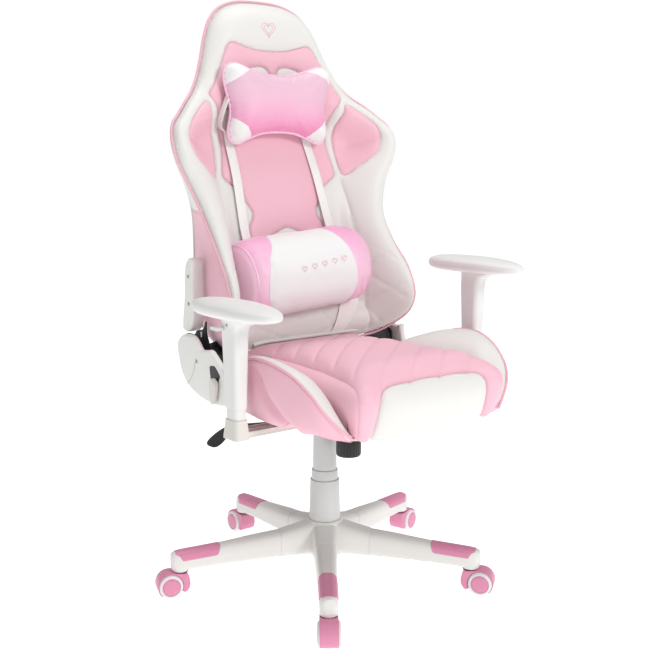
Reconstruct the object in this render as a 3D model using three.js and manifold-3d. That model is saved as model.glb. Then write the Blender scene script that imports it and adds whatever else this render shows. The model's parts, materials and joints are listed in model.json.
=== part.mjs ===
// A racing-style gaming chair on a five-leg caster base, as separate named parts.
// Millimetres, +Z up, the sitter faces -Y, and the sitter's left is +X.
// Every part is modelled from the gas column's axis on the floor; the exported group
// then moves the chair so that the middle of its footprint lies at the origin.
import * as THREE from "three";
import { mergeVertices } from "three/addons/utils/BufferGeometryUtils.js";
import Module from "manifold-3d";

const wasm = await Module();
wasm.setup();

// Driving dimensions
const COLUMN_TO_CENTRE_Y = -19.15; // footprint centre to column axis, seen from the column
const GAP = 0.4; // clearance between parts that touch
const LEG_COUNT = 5;
const FIRST_LEG_DEG = -36; // measured from -Y towards +X
const STEM_CIRCLE_R = 320;
const WHEEL_R = 25.5;
const WHEEL_SIDES = 20;
const WHEEL_INNER = 6.4; // from the caster's middle plane
const WHEEL_OUTER = 23;
const TRAIL = 22.6; // wheel axle behind the swivel stem
const HUB_R = 42;
const HUB_BOTTOM = 52;
const HUB_TOP = 130;
const CYLINDER_R = 22;
const ROD_R = 14;
const KNOB_Y = -82;
const PIN_Y = -40; // tilt pivot
const PIN_Z = 372;
const TILT_CLEARANCE_DEG = 13;
const PLATE_BOTTOM = 386;
const SEAT_BOTTOM = 400;
const CUSHION_HALF = 166;
const ARM_X = 306;
const ARM_Y = -130;
const ARM_RAISED = 43; // how much higher the left arm stands
const SOCKET_TOP = 582;
const POST_TOP = 545;
const PAD_LENGTH = 280;
const PAD_WIDTH = 88;
const PAD_THICK = 26;
const PAD_BOTTOM = 614;
const PAD_SLOPE_DEG = 2.2;
const BACK_Y = 155; // front face of the backrest at BACK_Z
const BACK_Z = 863;
const BACK_SLOPE = 0.18; // backward per unit of height
const HINGE_Y = 88;
const HINGE_Z = 490;
const PLATE_SEAT_X = [212, 217];
const RECLINER_X = [217.4, 231.6];
const PLATE_BACK_X = [232, 237];
const COVER_BACK_X = [238.5, 250];
const COVER_SEAT_X = [251, 263];

const RAD = Math.PI / 180;
const BACK_ANGLE = Math.atan(BACK_SLOPE);

const finish = (color, roughness, metalness = 0) =>
  new THREE.MeshStandardMaterial({ color, roughness, metalness });
const WHITE_PLASTIC = finish(0xe8e7de, 0.45);
const PINK_PLASTIC = finish(0xdf96b4, 0.4);
const BLACK_PLASTIC = finish(0x1b1b1d, 0.5);
const BLACK_STEEL = finish(0x202124, 0.45, 0.8);
const BRIGHT_STEEL = finish(0xb9bcc0, 0.3, 0.9);
const PINK_LEATHER = finish(0xeeb4c8, 0.5);
const WHITE_LEATHER = finish(0xf4f3ee, 0.5);
const PINK_SATIN = finish(0xf5a8cf, 0.35);

// Geometry helpers
const vec = (x, y, z) => new THREE.Vector3(x, y, z);

// A closed three.js geometry as a manifold solid.
function solid(geometry) {
  const bare = geometry.index ? geometry.toNonIndexed() : geometry.clone();
  bare.deleteAttribute("normal");
  bare.deleteAttribute("uv");
  const merged = mergeVertices(bare, 1e-3);
  return new wasm.Manifold(
    new wasm.Mesh({
      numProp: 3,
      vertProperties: merged.attributes.position.array,
      triVerts: new Uint32Array(merged.index.array),
    }),
  );
}

// A manifold solid as a three.js geometry.
function shell(made) {
  const mesh = made.getMesh();
  const position = new THREE.BufferAttribute(new Float32Array(mesh.vertProperties), 3);
  return new THREE.BufferGeometry()
    .setAttribute("position", position)
    .setIndex(new THREE.BufferAttribute(new Uint32Array(mesh.triVerts), 1));
}

const join = (...parts) => parts.reduce((sum, part) => sum.add(part));
const cut = (body, ...tools) => tools.reduce((rest, tool) => rest.subtract(tool), body);

// A box between two corners.
function block([x0, x1], [y0, y1], [z0, z1]) {
  const geometry = new THREE.BoxGeometry(x1 - x0, y1 - y0, z1 - z0);
  return solid(geometry.translate((x0 + x1) / 2, (y0 + y1) / 2, (z0 + z1) / 2));
}

// A cylinder along an axis, "x", "y" or "z", from one station to another.
function rod(axis, radius, [from, to], [a, b] = [0, 0], sides = 24) {
  const geometry = new THREE.CylinderGeometry(radius, radius, to - from, sides);
  const middle = (from + to) / 2;
  if (axis === "x") geometry.rotateZ(Math.PI / 2).translate(middle, a, b);
  if (axis === "y") geometry.translate(a, middle, b);
  if (axis === "z") geometry.rotateX(Math.PI / 2).translate(a, b, middle);
  return solid(geometry);
}

// A profile of [radius, height] points turned about the Z axis.
function turned(profile, sides = 32) {
  const points = profile.map(([r, z]) => new THREE.Vector2(r, z));
  return solid(new THREE.LatheGeometry(points, sides).rotateX(Math.PI / 2));
}

// A tube about the Z axis: outer radii at its foot and its head, and a wall.
function sleeve(footR, headR, [from, to], wall) {
  const profile = [
    [footR - wall, from],
    [footR, from],
    [headR, to],
    [headR - wall, to],
    [footR - wall, from],
  ];
  return turned(profile);
}

// A smooth closed outline through a few points.
function rounded(points, steps = 3) {
  const curve = new THREE.CatmullRomCurve3(
    points.map(([u, v]) => vec(u, v, 0)),
    true,
    "centripetal",
  );
  return curve.getPoints(points.length * steps).slice(0, -1).map((p) => [p.x, p.y]);
}

// A rectangle with rounded corners, centred on the origin.
function roundedRect(width, depth, radius) {
  const outline = new THREE.Shape();
  const x = width / 2 - radius;
  const y = depth / 2 - radius;
  outline.absarc(x, y, radius, 0, 90 * RAD);
  outline.absarc(-x, y, radius, 90 * RAD, 180 * RAD);
  outline.absarc(-x, -y, radius, 180 * RAD, 270 * RAD);
  outline.absarc(x, -y, radius, 270 * RAD, 360 * RAD);
  return outline;
}

// An outline thickened along an axis. The outline is (y, z) for "x" and (x, y) for "z".
function plate(outline, axis, [from, to]) {
  const shape = new THREE.Shape(outline.map(([u, v]) => new THREE.Vector2(u, v)));
  const geometry = new THREE.ExtrudeGeometry(shape, { depth: to - from, bevelEnabled: false });
  geometry.translate(0, 0, from);
  if (axis === "x") {
    const turn = new THREE.Matrix4().makeBasis(vec(0, 1, 0), vec(0, 0, 1), vec(1, 0, 0));
    geometry.applyMatrix4(turn);
  }
  return solid(geometry);
}

// A closed skin over rings of equally many points, with a fan over each end.
function loft(rings) {
  const count = rings[0].length;
  const centre = (ring) =>
    ring.reduce((sum, p) => sum.add(p), vec(0, 0, 0)).divideScalar(count);
  const points = [...rings.flat(), centre(rings[0]), centre(rings.at(-1))];
  const firstCentre = points.length - 2;
  const faces = [];
  for (let r = 0; r < rings.length - 1; r += 1) {
    for (let i = 0; i < count; i += 1) {
      const a = r * count + i;
      const b = r * count + ((i + 1) % count);
      faces.push(a, b, b + count, a, b + count, a + count);
    }
  }
  const last = (rings.length - 1) * count;
  for (let i = 0; i < count; i += 1) {
    const next = (i + 1) % count;
    faces.push(firstCentre, next, i);
    faces.push(firstCentre + 1, last + i, last + next);
  }
  const geometry = new THREE.BufferGeometry().setFromPoints(points);
  geometry.setIndex(faces);
  const made = solid(geometry);
  if (made.volume() > 0) return made;
  for (let i = 0; i < faces.length; i += 3) {
    [faces[i + 1], faces[i + 2]] = [faces[i + 2], faces[i + 1]];
  }
  geometry.setIndex(faces);
  return solid(geometry);
}

const mirrored = (made) => made.mirror([1, 0, 0]);

// Names and places a finished solid.
function part(parent, name, made, material) {
  const mesh = new THREE.Mesh(shell(made), material);
  mesh.name = name;
  parent.add(mesh);
  return mesh;
}

// A solid on the sitter's left, +X, and its mirror image on the sitter's right.
function pair(parent, name, madeLeft, material) {
  part(parent, name + "_left", madeLeft, material);
  part(parent, name + "_right", mirrored(madeLeft), material);
}

// Base
// Leg stations: distance from the axis, top, bottom, half width.
const LEG_STATIONS = [
  [20, 129, 60, 27],
  [104, 112, 62, 22.5],
  [236, 100, 61, 18.5],
  [300, 96.5, 59, 17.5],
  [331, 94.5, 58, 15],
  [339, 90, 60, 9],
];
const LEG_SHOULDER = 10;
const PAD_FROM = 236;
const PAD_TO = 331;
const PAD_HALF = 15.5;
const PAD_CORNER = 8;
const BOSS_R = 17.5;
const BOSS_BOTTOM = 56.5;
const STEM_R = 5.5;
const STEM_TOP = 82;

const legTop = (r) => 100 - ((r - 236) * 5.5) / 95;

function legSolid() {
  const rings = LEG_STATIONS.map(([r, top, bottom, half]) => [
    vec(r, -half + 3, bottom),
    vec(r, half - 3, bottom),
    vec(r, half, bottom + 6),
    vec(r, half, top - LEG_SHOULDER),
    vec(r, half - LEG_SHOULDER / 1.6, top),
    vec(r, -half + LEG_SHOULDER / 1.6, top),
    vec(r, -half, top - LEG_SHOULDER),
    vec(r, -half, bottom + 6),
  ]);
  const boss = rod("z", BOSS_R, [BOSS_BOTTOM, STEM_TOP], [STEM_CIRCLE_R, 0], 16);
  return join(loft(rings), boss);
}

// The pad's slab, grown by a margin for the recess that it sits in.
function padSlab(margin, thick) {
  const a = PAD_FROM - margin;
  const b = PAD_TO + margin;
  const half = PAD_HALF + margin;
  const c = PAD_CORNER;
  const outline = [
    [a, -half + c],
    [a + c, -half],
    [b - c, -half],
    [b, -half + c],
    [b, half - c],
    [b - c, half],
    [a + c, half],
    [a, half - c],
  ];
  const ring = (z) => outline.map(([r, y]) => vec(r, y, legTop(r) + z));
  return loft([ring(-thick), ring(1.2 + margin * 4)]);
}

const around = (made, index) => {
  const turn = -90 + FIRST_LEG_DEG + (360 / LEG_COUNT) * index;
  return made.rotate([0, 0, turn]);
};

function base(chair) {
  const hub = turned([
    [0, HUB_BOTTOM],
    [HUB_R - 4, HUB_BOTTOM],
    [HUB_R, HUB_BOTTOM + 6],
    [HUB_R, HUB_TOP - 12],
    [HUB_R - 5, HUB_TOP],
    [0, HUB_TOP],
  ]);
  const boreZ = [BOSS_BOTTOM - 2, STEM_TOP + 2];
  const stemBore = rod("z", STEM_R + 2 * GAP, boreZ, [STEM_CIRCLE_R, 0], 12);
  const leg = cut(legSolid(), stemBore, padSlab(GAP, 2 + GAP));
  let star = hub;
  for (let i = 0; i < LEG_COUNT; i += 1) star = star.add(around(leg, i));
  const coverSeat = rod("z", 60, [HUB_TOP, HUB_TOP + 40]);
  const cylinderBore = rod("z", CYLINDER_R + GAP, [HUB_BOTTOM - 20, HUB_TOP + 60]);
  part(chair, "star_base", cut(star, coverSeat, cylinderBore), WHITE_PLASTIC);
  for (let i = 0; i < LEG_COUNT; i += 1) {
    part(chair, `leg_pad_${i + 1}`, around(padSlab(0, 2), i), PINK_PLASTIC);
  }
}

// Casters, modelled with the stem on the Z axis and the wheels trailing along +X
const HOOD_HALF = 18;
const HOOD_R = 28;
const HOOD_TOP = 52.5;
const AXLE_R = 3;

function hoodSolid() {
  const outline = [];
  for (let degrees = -5; degrees <= 95; degrees += 12.5) {
    const x = TRAIL + HOOD_R * Math.cos(degrees * RAD);
    const z = WHEEL_R + HOOD_R * Math.sin(degrees * RAD);
    outline.push([x, z]);
  }
  outline.push([-9, HOOD_TOP], [-15, 50], [-18, 43], [-18, 30], [-15, 19], [-8, 11]);
  outline.push([4, 7], [20, 6], [36, 9], [46, 16]);
  // The outline lies in the x-z plane, so the plate across "x" is turned a quarter about Z.
  const body = plate(outline, "x", [-HOOD_HALF, HOOD_HALF]).rotate([0, 0, -90]);
  const room = rod("y", WHEEL_R + 0.9, [WHEEL_INNER - 0.6, 40], [TRAIL, WHEEL_R], 28);
  const stem = rod("z", STEM_R, [HOOD_TOP - 8, STEM_TOP - 2], [0, 0], 12);
  const axleBore = rod("y", AXLE_R + GAP, [-40, 40], [TRAIL, WHEEL_R], 12);
  return cut(join(body, stem), room, room.mirror([0, 1, 0]), axleBore);
}

// A wheel with a flat facet on the floor and a domed outer face.
function wheelSolid() {
  const flat = WHEEL_R / Math.cos(Math.PI / WHEEL_SIDES);
  const profile = [
    [0, WHEEL_INNER],
    [flat, WHEEL_INNER],
    [flat, WHEEL_OUTER - 4],
    [flat - 3.5, WHEEL_OUTER - 0.8],
    [flat - 9, WHEEL_OUTER],
    [0, WHEEL_OUTER],
  ];
  return turned(profile, WHEEL_SIDES)
    .rotate([0, 0, 180 / WHEEL_SIDES])
    .rotate([-90, 0, 0])
    .translate([TRAIL, 0, WHEEL_R]);
}

function caster(chair, index) {
  const place = (made) => around(made.translate([STEM_CIRCLE_R, 0, 0]), index);
  const name = `caster_${index + 1}`;
  const axle = rod("y", AXLE_R, [-WHEEL_OUTER + 3, WHEEL_INNER + 2], [TRAIL, WHEEL_R], 12);
  const hole = rod("y", AXLE_R + GAP, [-WHEEL_OUTER + 3 - GAP, 0], [TRAIL, WHEEL_R], 12);
  const wheel = wheelSolid();
  part(chair, `${name}_hood`, place(hoodSolid()), PINK_PLASTIC);
  part(chair, `${name}_wheel_left`, place(join(wheel, axle)), WHITE_PLASTIC);
  const farWheel = cut(wheel.mirror([0, 1, 0]), hole);
  part(chair, `${name}_wheel_right`, place(farWheel), WHITE_PLASTIC);
}

// Column
function column(chair) {
  const tube = rod("z", CYLINDER_R, [46, 240], [0, 0], 32);
  const bore = rod("z", ROD_R + GAP, [100, 250], [0, 0], 32);
  part(chair, "gas_cylinder", cut(tube, bore), BLACK_STEEL);
  part(chair, "column_cover_lower", sleeve(33.5, 31.2, [HUB_TOP + GAP, 219], 1.5), WHITE_PLASTIC);
  part(chair, "column_cover_middle", sleeve(28.9, 28.4, [178, 241], 1.2), WHITE_PLASTIC);
  part(chair, "column_cover_upper", sleeve(26.3, 24, [215, 343], 1.3), WHITE_PLASTIC);
  part(chair, "piston_rod", rod("z", ROD_R, [165, 368], [0, 0], 32), BRIGHT_STEEL);
}

// Tilt mechanism
const HOUSING_HALF = 84;
const SPRING_R = 14;
const SPRING_WIRE_R = 2;
const SPRING_TURNS = 4;
const SPRING_Z = [340, 372];

class Helix extends THREE.Curve {
  getPoint(t) {
    const angle = t * SPRING_TURNS * 2 * Math.PI;
    const z = SPRING_Z[0] + t * (SPRING_Z[1] - SPRING_Z[0]);
    return vec(SPRING_R * Math.cos(angle), KNOB_Y + SPRING_R * Math.sin(angle), z);
  }
}

function springSolid() {
  const wire = new THREE.Shape().absarc(0, 0, SPRING_WIRE_R, 0, 2 * Math.PI);
  const geometry = new THREE.ExtrudeGeometry(wire, {
    steps: SPRING_TURNS * 9,
    curveSegments: 3,
    extrudePath: new Helix(),
  });
  return solid(geometry);
}

function mechanism(chair) {
  const slope = Math.tan(TILT_CLEARANCE_DEG * RAD);
  const top = PLATE_BOTTOM - 2;
  const profile = [
    [-112, 350],
    [-60, 345],
    [62, 345],
    [62, top - 100 * slope],
    [PIN_Y + 2, top],
    [-104, top],
    [-112, top - 10],
  ];
  const housing = cut(
    plate(profile, "x", [-HOUSING_HALF, HOUSING_HALF]),
    rod("z", ROD_R + GAP, [340, 400], [0, 0], 32),
    rod("z", SPRING_R + 5, [340, 376], [0, KNOB_Y]),
    rod("x", 5 + GAP, [-HOUSING_HALF - 5, HOUSING_HALF + 5], [PIN_Y, PIN_Z]),
  );
  part(chair, "tilt_housing", housing, BLACK_STEEL);
  part(chair, "tilt_spring", springSolid(), BRIGHT_STEEL);
  part(chair, "pivot_pin", rod("x", 5, [-94, 94], [PIN_Y, PIN_Z]), BRIGHT_STEEL);
}

const RIB_COUNT = 18;
const RIB_CIRCLE_R = 24;

function tensionKnob(chair) {
  const ribs = [];
  for (let i = 0; i < RIB_COUNT; i += 1) {
    const angle = (i * 2 * Math.PI) / RIB_COUNT;
    const foot = [RIB_CIRCLE_R * Math.cos(angle), RIB_CIRCLE_R * Math.sin(angle)];
    ribs.push(rod("z", 2.6, [292, 334], foot, 8));
  }
  const body = turned([
    [0, 289],
    [21, 289],
    [25, 292],
    [25, 334],
    [0, 334],
  ]);
  const shaft = rod("z", 5, [333, 370], [0, 0], 16);
  const knob = join(body, shaft, ...ribs).translate([0, KNOB_Y, 0]);
  part(chair, "tension_knob", knob, BLACK_PLASTIC);
}

// The lever's rod leaves the housing's right side, and its paddle slopes down at the end.
const LEVER_PATH = [
  [-96, 367, 5],
  [-232, 380, 5],
  [-246, 382, 6],
  [-262, 377, 8],
  [-295, 356, 8],
  [-303, 352, 4],
];
const PADDLE_HALF = [5, 5, 12, 22, 20, 12];

function heightLever(chair) {
  const rings = LEVER_PATH.map(([x, z, thick], i) => {
    const half = PADDLE_HALF[i];
    const middle = -30;
    return [
      vec(x, middle - half, z - thick / 2),
      vec(x, middle + half, z - thick / 2),
      vec(x, middle + half, z + thick / 2),
      vec(x, middle - half, z + thick / 2),
    ];
  });
  part(chair, "height_lever", loft(rings), BLACK_PLASTIC);
}

// Seat
// Side profile of the seat's middle, [y, z].
const SEAT_PROFILE = [
  [-322, SEAT_BOTTOM],
  [-331, 430],
  [-332.2, 462],
  [-327, 486],
  [-312, 499],
  [-285, 505],
  [-120, 506],
  [40, 507],
  [70, 506],
  [80, 494],
  [80, 425],
  [74, SEAT_BOTTOM],
];
// Bolster stations: y, crest x, crest z, top z at the seat's middle, underside z at the crest.
const BOLSTER_STATIONS = [
  [-331, 190, 434, 455, 414],
  [-325, 206, 452, 480, 408],
  [-312, 228, 466, 494, 410],
  [-296, 241, 480, 501, 413],
  [-270, 250, 502, 505, 417],
  [-225, 262, 526, 506, 422],
  [-160, 270, 540, 507, 427],
  [-90, 268, 540, 507, 430],
  [-30, 254, 530, 507, 428],
  [10, 226, 516, 506, 420],
];
const FRAME_Z = [401, 419];
const FRAME_HALF = 158;
const FRAME_REAR = 66;
const RAIL = 20;

function seatFrameSolid(grow) {
  const z = [FRAME_Z[0] - grow, FRAME_Z[1] + grow];
  const outer = FRAME_HALF + grow;
  const inner = FRAME_HALF - RAIL - grow;
  const ring = cut(
    block([-outer, outer], [-290 - grow, FRAME_REAR + grow], z),
    block([-inner, inner], [-270 + grow, FRAME_REAR - RAIL - grow], [z[0] - 1, z[1] + 1]),
  );
  return join(ring, block([-211.6, 211.6], [FRAME_REAR - RAIL - grow, FRAME_REAR + grow], z));
}

// Room below the frame's tubes, so that their groove in the foam opens downwards.
const frameOpening = () => seatFrameSolid(GAP).translate([0, 0, -6]);

// The bolster's widest reach low down: it tucks in behind the hinge cover.
const bolsterBelly = (y) => (y > -60 ? 248 : 272);

function bolsterSolid() {
  const inner = CUSHION_HALF + GAP;
  const rings = BOLSTER_STATIONS.map(([y, x, z, top, under]) => [
    vec(inner, y, Math.max(SEAT_BOTTOM + 2, under - 14)),
    vec(inner, y, top),
    vec(inner + (x - inner) * 0.55, y, (top + z) / 2 + 4),
    vec(x - 12, y, z),
    vec(x, y, z - 7),
    vec(Math.min(x + 2, bolsterBelly(y)), y, (z + under) / 2),
    vec(Math.min(x - 4, bolsterBelly(y)), y, under + 6),
    vec(x - 16, y, under),
  ]);
  return loft(rings);
}

function seat(chair) {
  const plateSolid = block([-149, 149], [-132, 84], [PLATE_BOTTOM, PLATE_BOTTOM + 8]);
  const earZ = [PIN_Z - 10, PLATE_BOTTOM + 1];
  const ear = cut(
    block([HOUSING_HALF + 2, HOUSING_HALF + 7], [PIN_Y - 14, PIN_Y + 14], earZ),
    rod("x", 5 + GAP, [80, 100], [PIN_Y, PIN_Z]),
  );
  const spacerZ = [PLATE_BOTTOM + 7, FRAME_Z[0] - GAP];
  const spacer = (y) => block([-130, 130], [y, y + 20], spacerZ);
  const crossRails = join(spacer(-125), spacer(46));
  part(chair, "seat_plate", join(plateSolid, ear, mirrored(ear), crossRails), BLACK_STEEL);
  part(chair, "seat_frame", seatFrameSolid(0), BLACK_STEEL);
  const middle = plate(SEAT_PROFILE, "x", [-CUSHION_HALF, CUSHION_HALF]);
  const spacerRoom = block([-131, 131], [-126, 90], [SEAT_BOTTOM - 5, 405]);
  const cushion = cut(middle, seatFrameSolid(GAP), spacerRoom, frameOpening());
  part(chair, "seat_cushion", cushion, PINK_LEATHER);
  pair(chair, "seat_bolster", bolsterSolid(), PINK_LEATHER);
}

// Arms
const SOCKET = [26.4, 41];
const SLEEVE_STATIONS = [
  [450, 31, 46, 0],
  [530, 33, 51, 0],
  [582, 36, 57, -1],
  [598, 42, 70, -5],
  [608.5, 52, 104, -12],
  [612.5, 56, 124, -14],
];

function superRing(width, depth, x, y, z, count = 16) {
  const ring = [];
  for (let i = 0; i < count; i += 1) {
    const angle = (i * 2 * Math.PI) / count;
    const c = Math.cos(angle);
    const s = Math.sin(angle);
    const swell = (value) => Math.sign(value) * Math.abs(value) ** 0.7;
    ring.push(vec(x + (swell(c) * width) / 2, y + (swell(s) * depth) / 2, z));
  }
  return ring;
}

function socketSolid(grow, [from, to]) {
  const outline = roundedRect(SOCKET[0] + 2 * grow, SOCKET[1] + 2 * grow, 8);
  const geometry = new THREE.ExtrudeGeometry(outline, {
    depth: to - from,
    bevelEnabled: false,
    curveSegments: 4,
  });
  return solid(geometry.translate(ARM_X, ARM_Y, from));
}

function padSolid() {
  const bevel = 8;
  const outline = roundedRect(PAD_WIDTH - 2 * bevel, PAD_LENGTH - 2 * bevel, 28);
  const geometry = new THREE.ExtrudeGeometry(outline, {
    depth: PAD_THICK - 2 * bevel,
    bevelThickness: bevel,
    bevelSize: bevel,
    bevelSegments: 2,
    curveSegments: 5,
  });
  geometry.translate(0, 0, bevel);
  geometry.rotateX(-PAD_SLOPE_DEG * RAD);
  return solid(geometry.translate(ARM_X, ARM_Y, PAD_BOTTOM + 6));
}

const TAB_Z = 593;

function tabSolid() {
  const outline = [
    [ARM_Y + 8, TAB_Z],
    [ARM_Y + 32, TAB_Z],
    [ARM_Y + 32, TAB_Z + 6],
    [ARM_Y + 8, TAB_Z + 6],
  ];
  return plate(outline, "x", [ARM_X + 12, ARM_X + 34]);
}

// One adjustable arm, raised by a height.
function adjustable(chair, side, raise) {
  const sideSolid = (made) => (side === "left" ? made : mirrored(made)).translate([0, 0, raise]);
  const rings = SLEEVE_STATIONS.map(([z, width, depth, shift]) =>
    superRing(width, depth, ARM_X, ARM_Y + shift, z),
  );
  const hollow = socketSolid(GAP, [440, SOCKET_TOP]);
  const padCut = padSolid().translate([0, 0, -GAP]);
  part(chair, `arm_sleeve_${side}`, sideSolid(cut(loft(rings), hollow, padCut)), WHITE_PLASTIC);
  part(chair, `arm_pad_${side}`, sideSolid(padSolid()), WHITE_PLASTIC);
  const slotted = cut(tabSolid(), loft(rings).translate([0.8, 0, 0]));
  part(chair, `arm_trigger_${side}`, sideSolid(slotted), WHITE_PLASTIC);
}

function arms(chair) {
  const box = block([ARM_X - 23, ARM_X + 23], [ARM_Y - 32, ARM_Y + 32], [384, 421]);
  const bar = block([150, ARM_X - 20], [ARM_Y - 27, ARM_Y + 27], [384, 390]);
  const lip = block([170, ARM_X - 20], [ARM_Y - 27, ARM_Y - 22], [384, 397]);
  const lips = join(lip, lip.translate([0, 49, 0]));
  const bracket = cut(join(box, bar, lips), socketSolid(GAP, [392 - GAP, 430]));
  pair(chair, "arm_bracket", bracket, WHITE_PLASTIC);
  pair(chair, "arm_post", socketSolid(0, [392, POST_TOP]), WHITE_PLASTIC);
  adjustable(chair, "left", ARM_RAISED);
  adjustable(chair, "right", 0);
}

// Hinges, drawn on the side view as [y, z] outlines
const COVER_BACK_OUTLINE = [
  [128, 699],
  [154, 672],
  [150, 631],
  [154, 594],
  [161, 560],
  [166, 525],
  [140, 475],
  [88, 442],
  [50, 465],
  [46, 505],
  [72, 540],
  [112, 560],
  [120, 590],
  [116, 635],
  [114, 672],
];
const COVER_SEAT_OUTLINE = [
  [167, 520],
  [166, 498],
  [152, 465],
  [125, 436],
  [90, 421],
  [45, 415],
  [-16, 421],
  [-30, 442],
  [-20, 480],
  [8, 508],
  [40, 523],
  [72, 518],
  [92, 534],
  [122, 546],
  [154, 538],
];
const PLATE_SEAT_OUTLINE = [
  [30, 402],
  [78, 398],
  [118, 440],
  [128, 490],
  [116, 520],
  [88, 530],
  [56, 515],
  [32, 450],
];
const PLATE_BACK_OUTLINE = [
  [54, 470],
  [66, 456],
  [110, 456],
  [128, 476],
  [146, 560],
  [150, 600],
  [146, 650],
  [124, 650],
  [118, 575],
  [92, 556],
  [66, 515],
];
const WELL = 2.5; // how deep a cover's rounded edge steps in

// A cover with a softened outer edge: a slab and a smaller slab on it.
function coverSolid(outline, [from, to]) {
  const wide = rounded(outline, 2);
  const centre = wide
    .reduce(([u, v], [y, z]) => [u + y, v + z], [0, 0])
    .map((sum) => sum / wide.length);
  const shrink = ([y, z]) => {
    const away = new THREE.Vector2(y - centre[0], z - centre[1]);
    return [y - (away.x / away.length()) * WELL, z - (away.y / away.length()) * WELL];
  };
  const narrow = wide.map(shrink);
  const slab = plate(wide, "x", [from, to - WELL]);
  const step = plate(narrow, "x", [to - WELL - 1, to]);
  return join(slab, step);
}

function hinges(chair) {
  const pivotBore = rod("x", 8 + GAP, [200, 260], [HINGE_Y, HINGE_Z]);
  const seatSide = cut(plate(PLATE_SEAT_OUTLINE, "x", PLATE_SEAT_X), pivotBore);
  pair(chair, "hinge_plate_seat", seatSide, BLACK_STEEL);
  const disc = rod("x", 33, RECLINER_X, [HINGE_Y, HINGE_Z]);
  const spindle = rod("x", 8, [213, PLATE_BACK_X[1] - 1], [HINGE_Y, HINGE_Z]);
  pair(chair, "recliner", join(disc, spindle), BLACK_STEEL);
  pair(chair, "hinge_cover_back", coverSolid(COVER_BACK_OUTLINE, COVER_BACK_X), WHITE_PLASTIC);
  pair(chair, "hinge_cover_seat", coverSolid(COVER_SEAT_OUTLINE, COVER_SEAT_X), WHITE_PLASTIC);
}

const LEVER_OUTLINE = [
  [8, 480],
  [30, 484],
  [35, 466],
  [31, 444],
  [29, 426],
  [23, 421],
  [17, 426],
  [17, 446],
  [10, 464],
];

function reclineLever(chair) {
  const handle = plate(rounded(LEVER_OUTLINE, 2), "x", [-277, -267]);
  const boss = rod("x", 9, [-268, -263.5], [20, 473]);
  part(chair, "recline_lever", join(handle, boss), WHITE_PLASTIC);
}

// Backrest
// Stations up the back: z, half width at the wing's edge, how far the edge stands forward,
// depth behind the front face, and half width of the rear.
const BACK_STATIONS = [
  [520, 200, 14, 66, 150],
  [538, 222, 56, 82, 166],
  [566, 232, 98, 92, 174],
  [615, 237, 124, 98, 180],
  [666, 234, 112, 100, 180],
  [713, 229, 80, 100, 180],
  [768, 230, 50, 99, 182],
  [813, 240, 40, 97, 190],
  [854, 256, 38, 95, 200],
  [895, 277, 47, 92, 212],
  [943, 286, 50, 88, 214],
  [978, 266, 40, 84, 200],
  [1013, 236, 22, 80, 182],
  [1048, 194, -6, 76, 158],
  [1101, 165, -12, 72, 138],
  [1153, 144, -16, 68, 120],
  [1190, 124, -18, 64, 100],
  [1218, 96, -22, 58, 74],
  [1237, 52, -30, 48, 36],
];
const BACK_MIDDLE = 0.72; // share of the half width that stays flat

const backPoint = (x, forward, z) =>
  vec(x, BACK_Y + BACK_SLOPE * (z - BACK_Z) - forward, z);

// Half of a level section, from the middle of the front round to the middle of the rear.
function backHalf([z, edge, forward, depth, rear]) {
  const flat = Math.min(edge * BACK_MIDDLE, 172);
  const hollow = forward > 0 ? 0 : forward * 0.3;
  return [
    [flat * 0.5, 0],
    [flat, hollow],
    [(flat + edge) / 2 + 8, forward * 0.55 - 4],
    [edge - 12, forward],
    [edge, forward - 12],
    [(edge + rear) / 2 + 8, (forward - depth) / 2 - 6],
    [rear, 12 - depth],
    [rear * 0.5, -depth],
  ].map(([x, ahead]) => backPoint(x, ahead, z));
}

function backSolid() {
  const rings = BACK_STATIONS.map((station) => {
    const half = backHalf(station);
    const other = half.map((p) => vec(-p.x, p.y, p.z)).reverse();
    return [...half, ...other];
  });
  return loft(rings);
}

// Turns a solid drawn upright, with the back's front face at y = 0, into the back's slope.
const reclined = (made) =>
  made.rotate([-BACK_ANGLE / RAD, 0, 0]).translate([0, BACK_Y, BACK_Z]);

const TUBE_Y = [38, 58];
const TUBE_X = [122, 142];
const TUBE_FOOT = -330;
const TUBE_HEAD = 235;
const CROSS_Z = [-305, -283];

// The tubes inside the backrest, grown by a margin for the channel they run in.
function backTubes(grow, drop) {
  const y = [TUBE_Y[0] - grow, TUBE_Y[1] + grow];
  const uprightZ = [TUBE_FOOT - drop, TUBE_HEAD + grow];
  const upright = block([TUBE_X[0] - grow, TUBE_X[1] + grow], y, uprightZ);
  const topZ = [TUBE_HEAD - RAIL - grow, TUBE_HEAD + grow];
  const top = block([-TUBE_X[1], TUBE_X[1]], y, topZ);
  const reach = PLATE_BACK_X[0] + 1 + drop;
  const cross = block([-reach, reach], y, [CROSS_Z[0] - grow, CROSS_Z[1] + grow]);
  return reclined(join(upright, mirrored(upright), top, cross));
}

function backrest(chair) {
  const bore = rod("x", 8 + GAP, [200, 260], [HINGE_Y, HINGE_Z]);
  const side = cut(plate(PLATE_BACK_OUTLINE, "x", PLATE_BACK_X), bore);
  part(chair, "back_frame", join(backTubes(0, 0), side, mirrored(side)), BLACK_STEEL);
  part(chair, "back_cushion", cut(backSolid(), backTubes(GAP, 60)), WHITE_LEATHER);
}

// Straps that hold the pillows: two long bands joined by a short one behind the head pillow.
const STRAP_THICK = 3;

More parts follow.
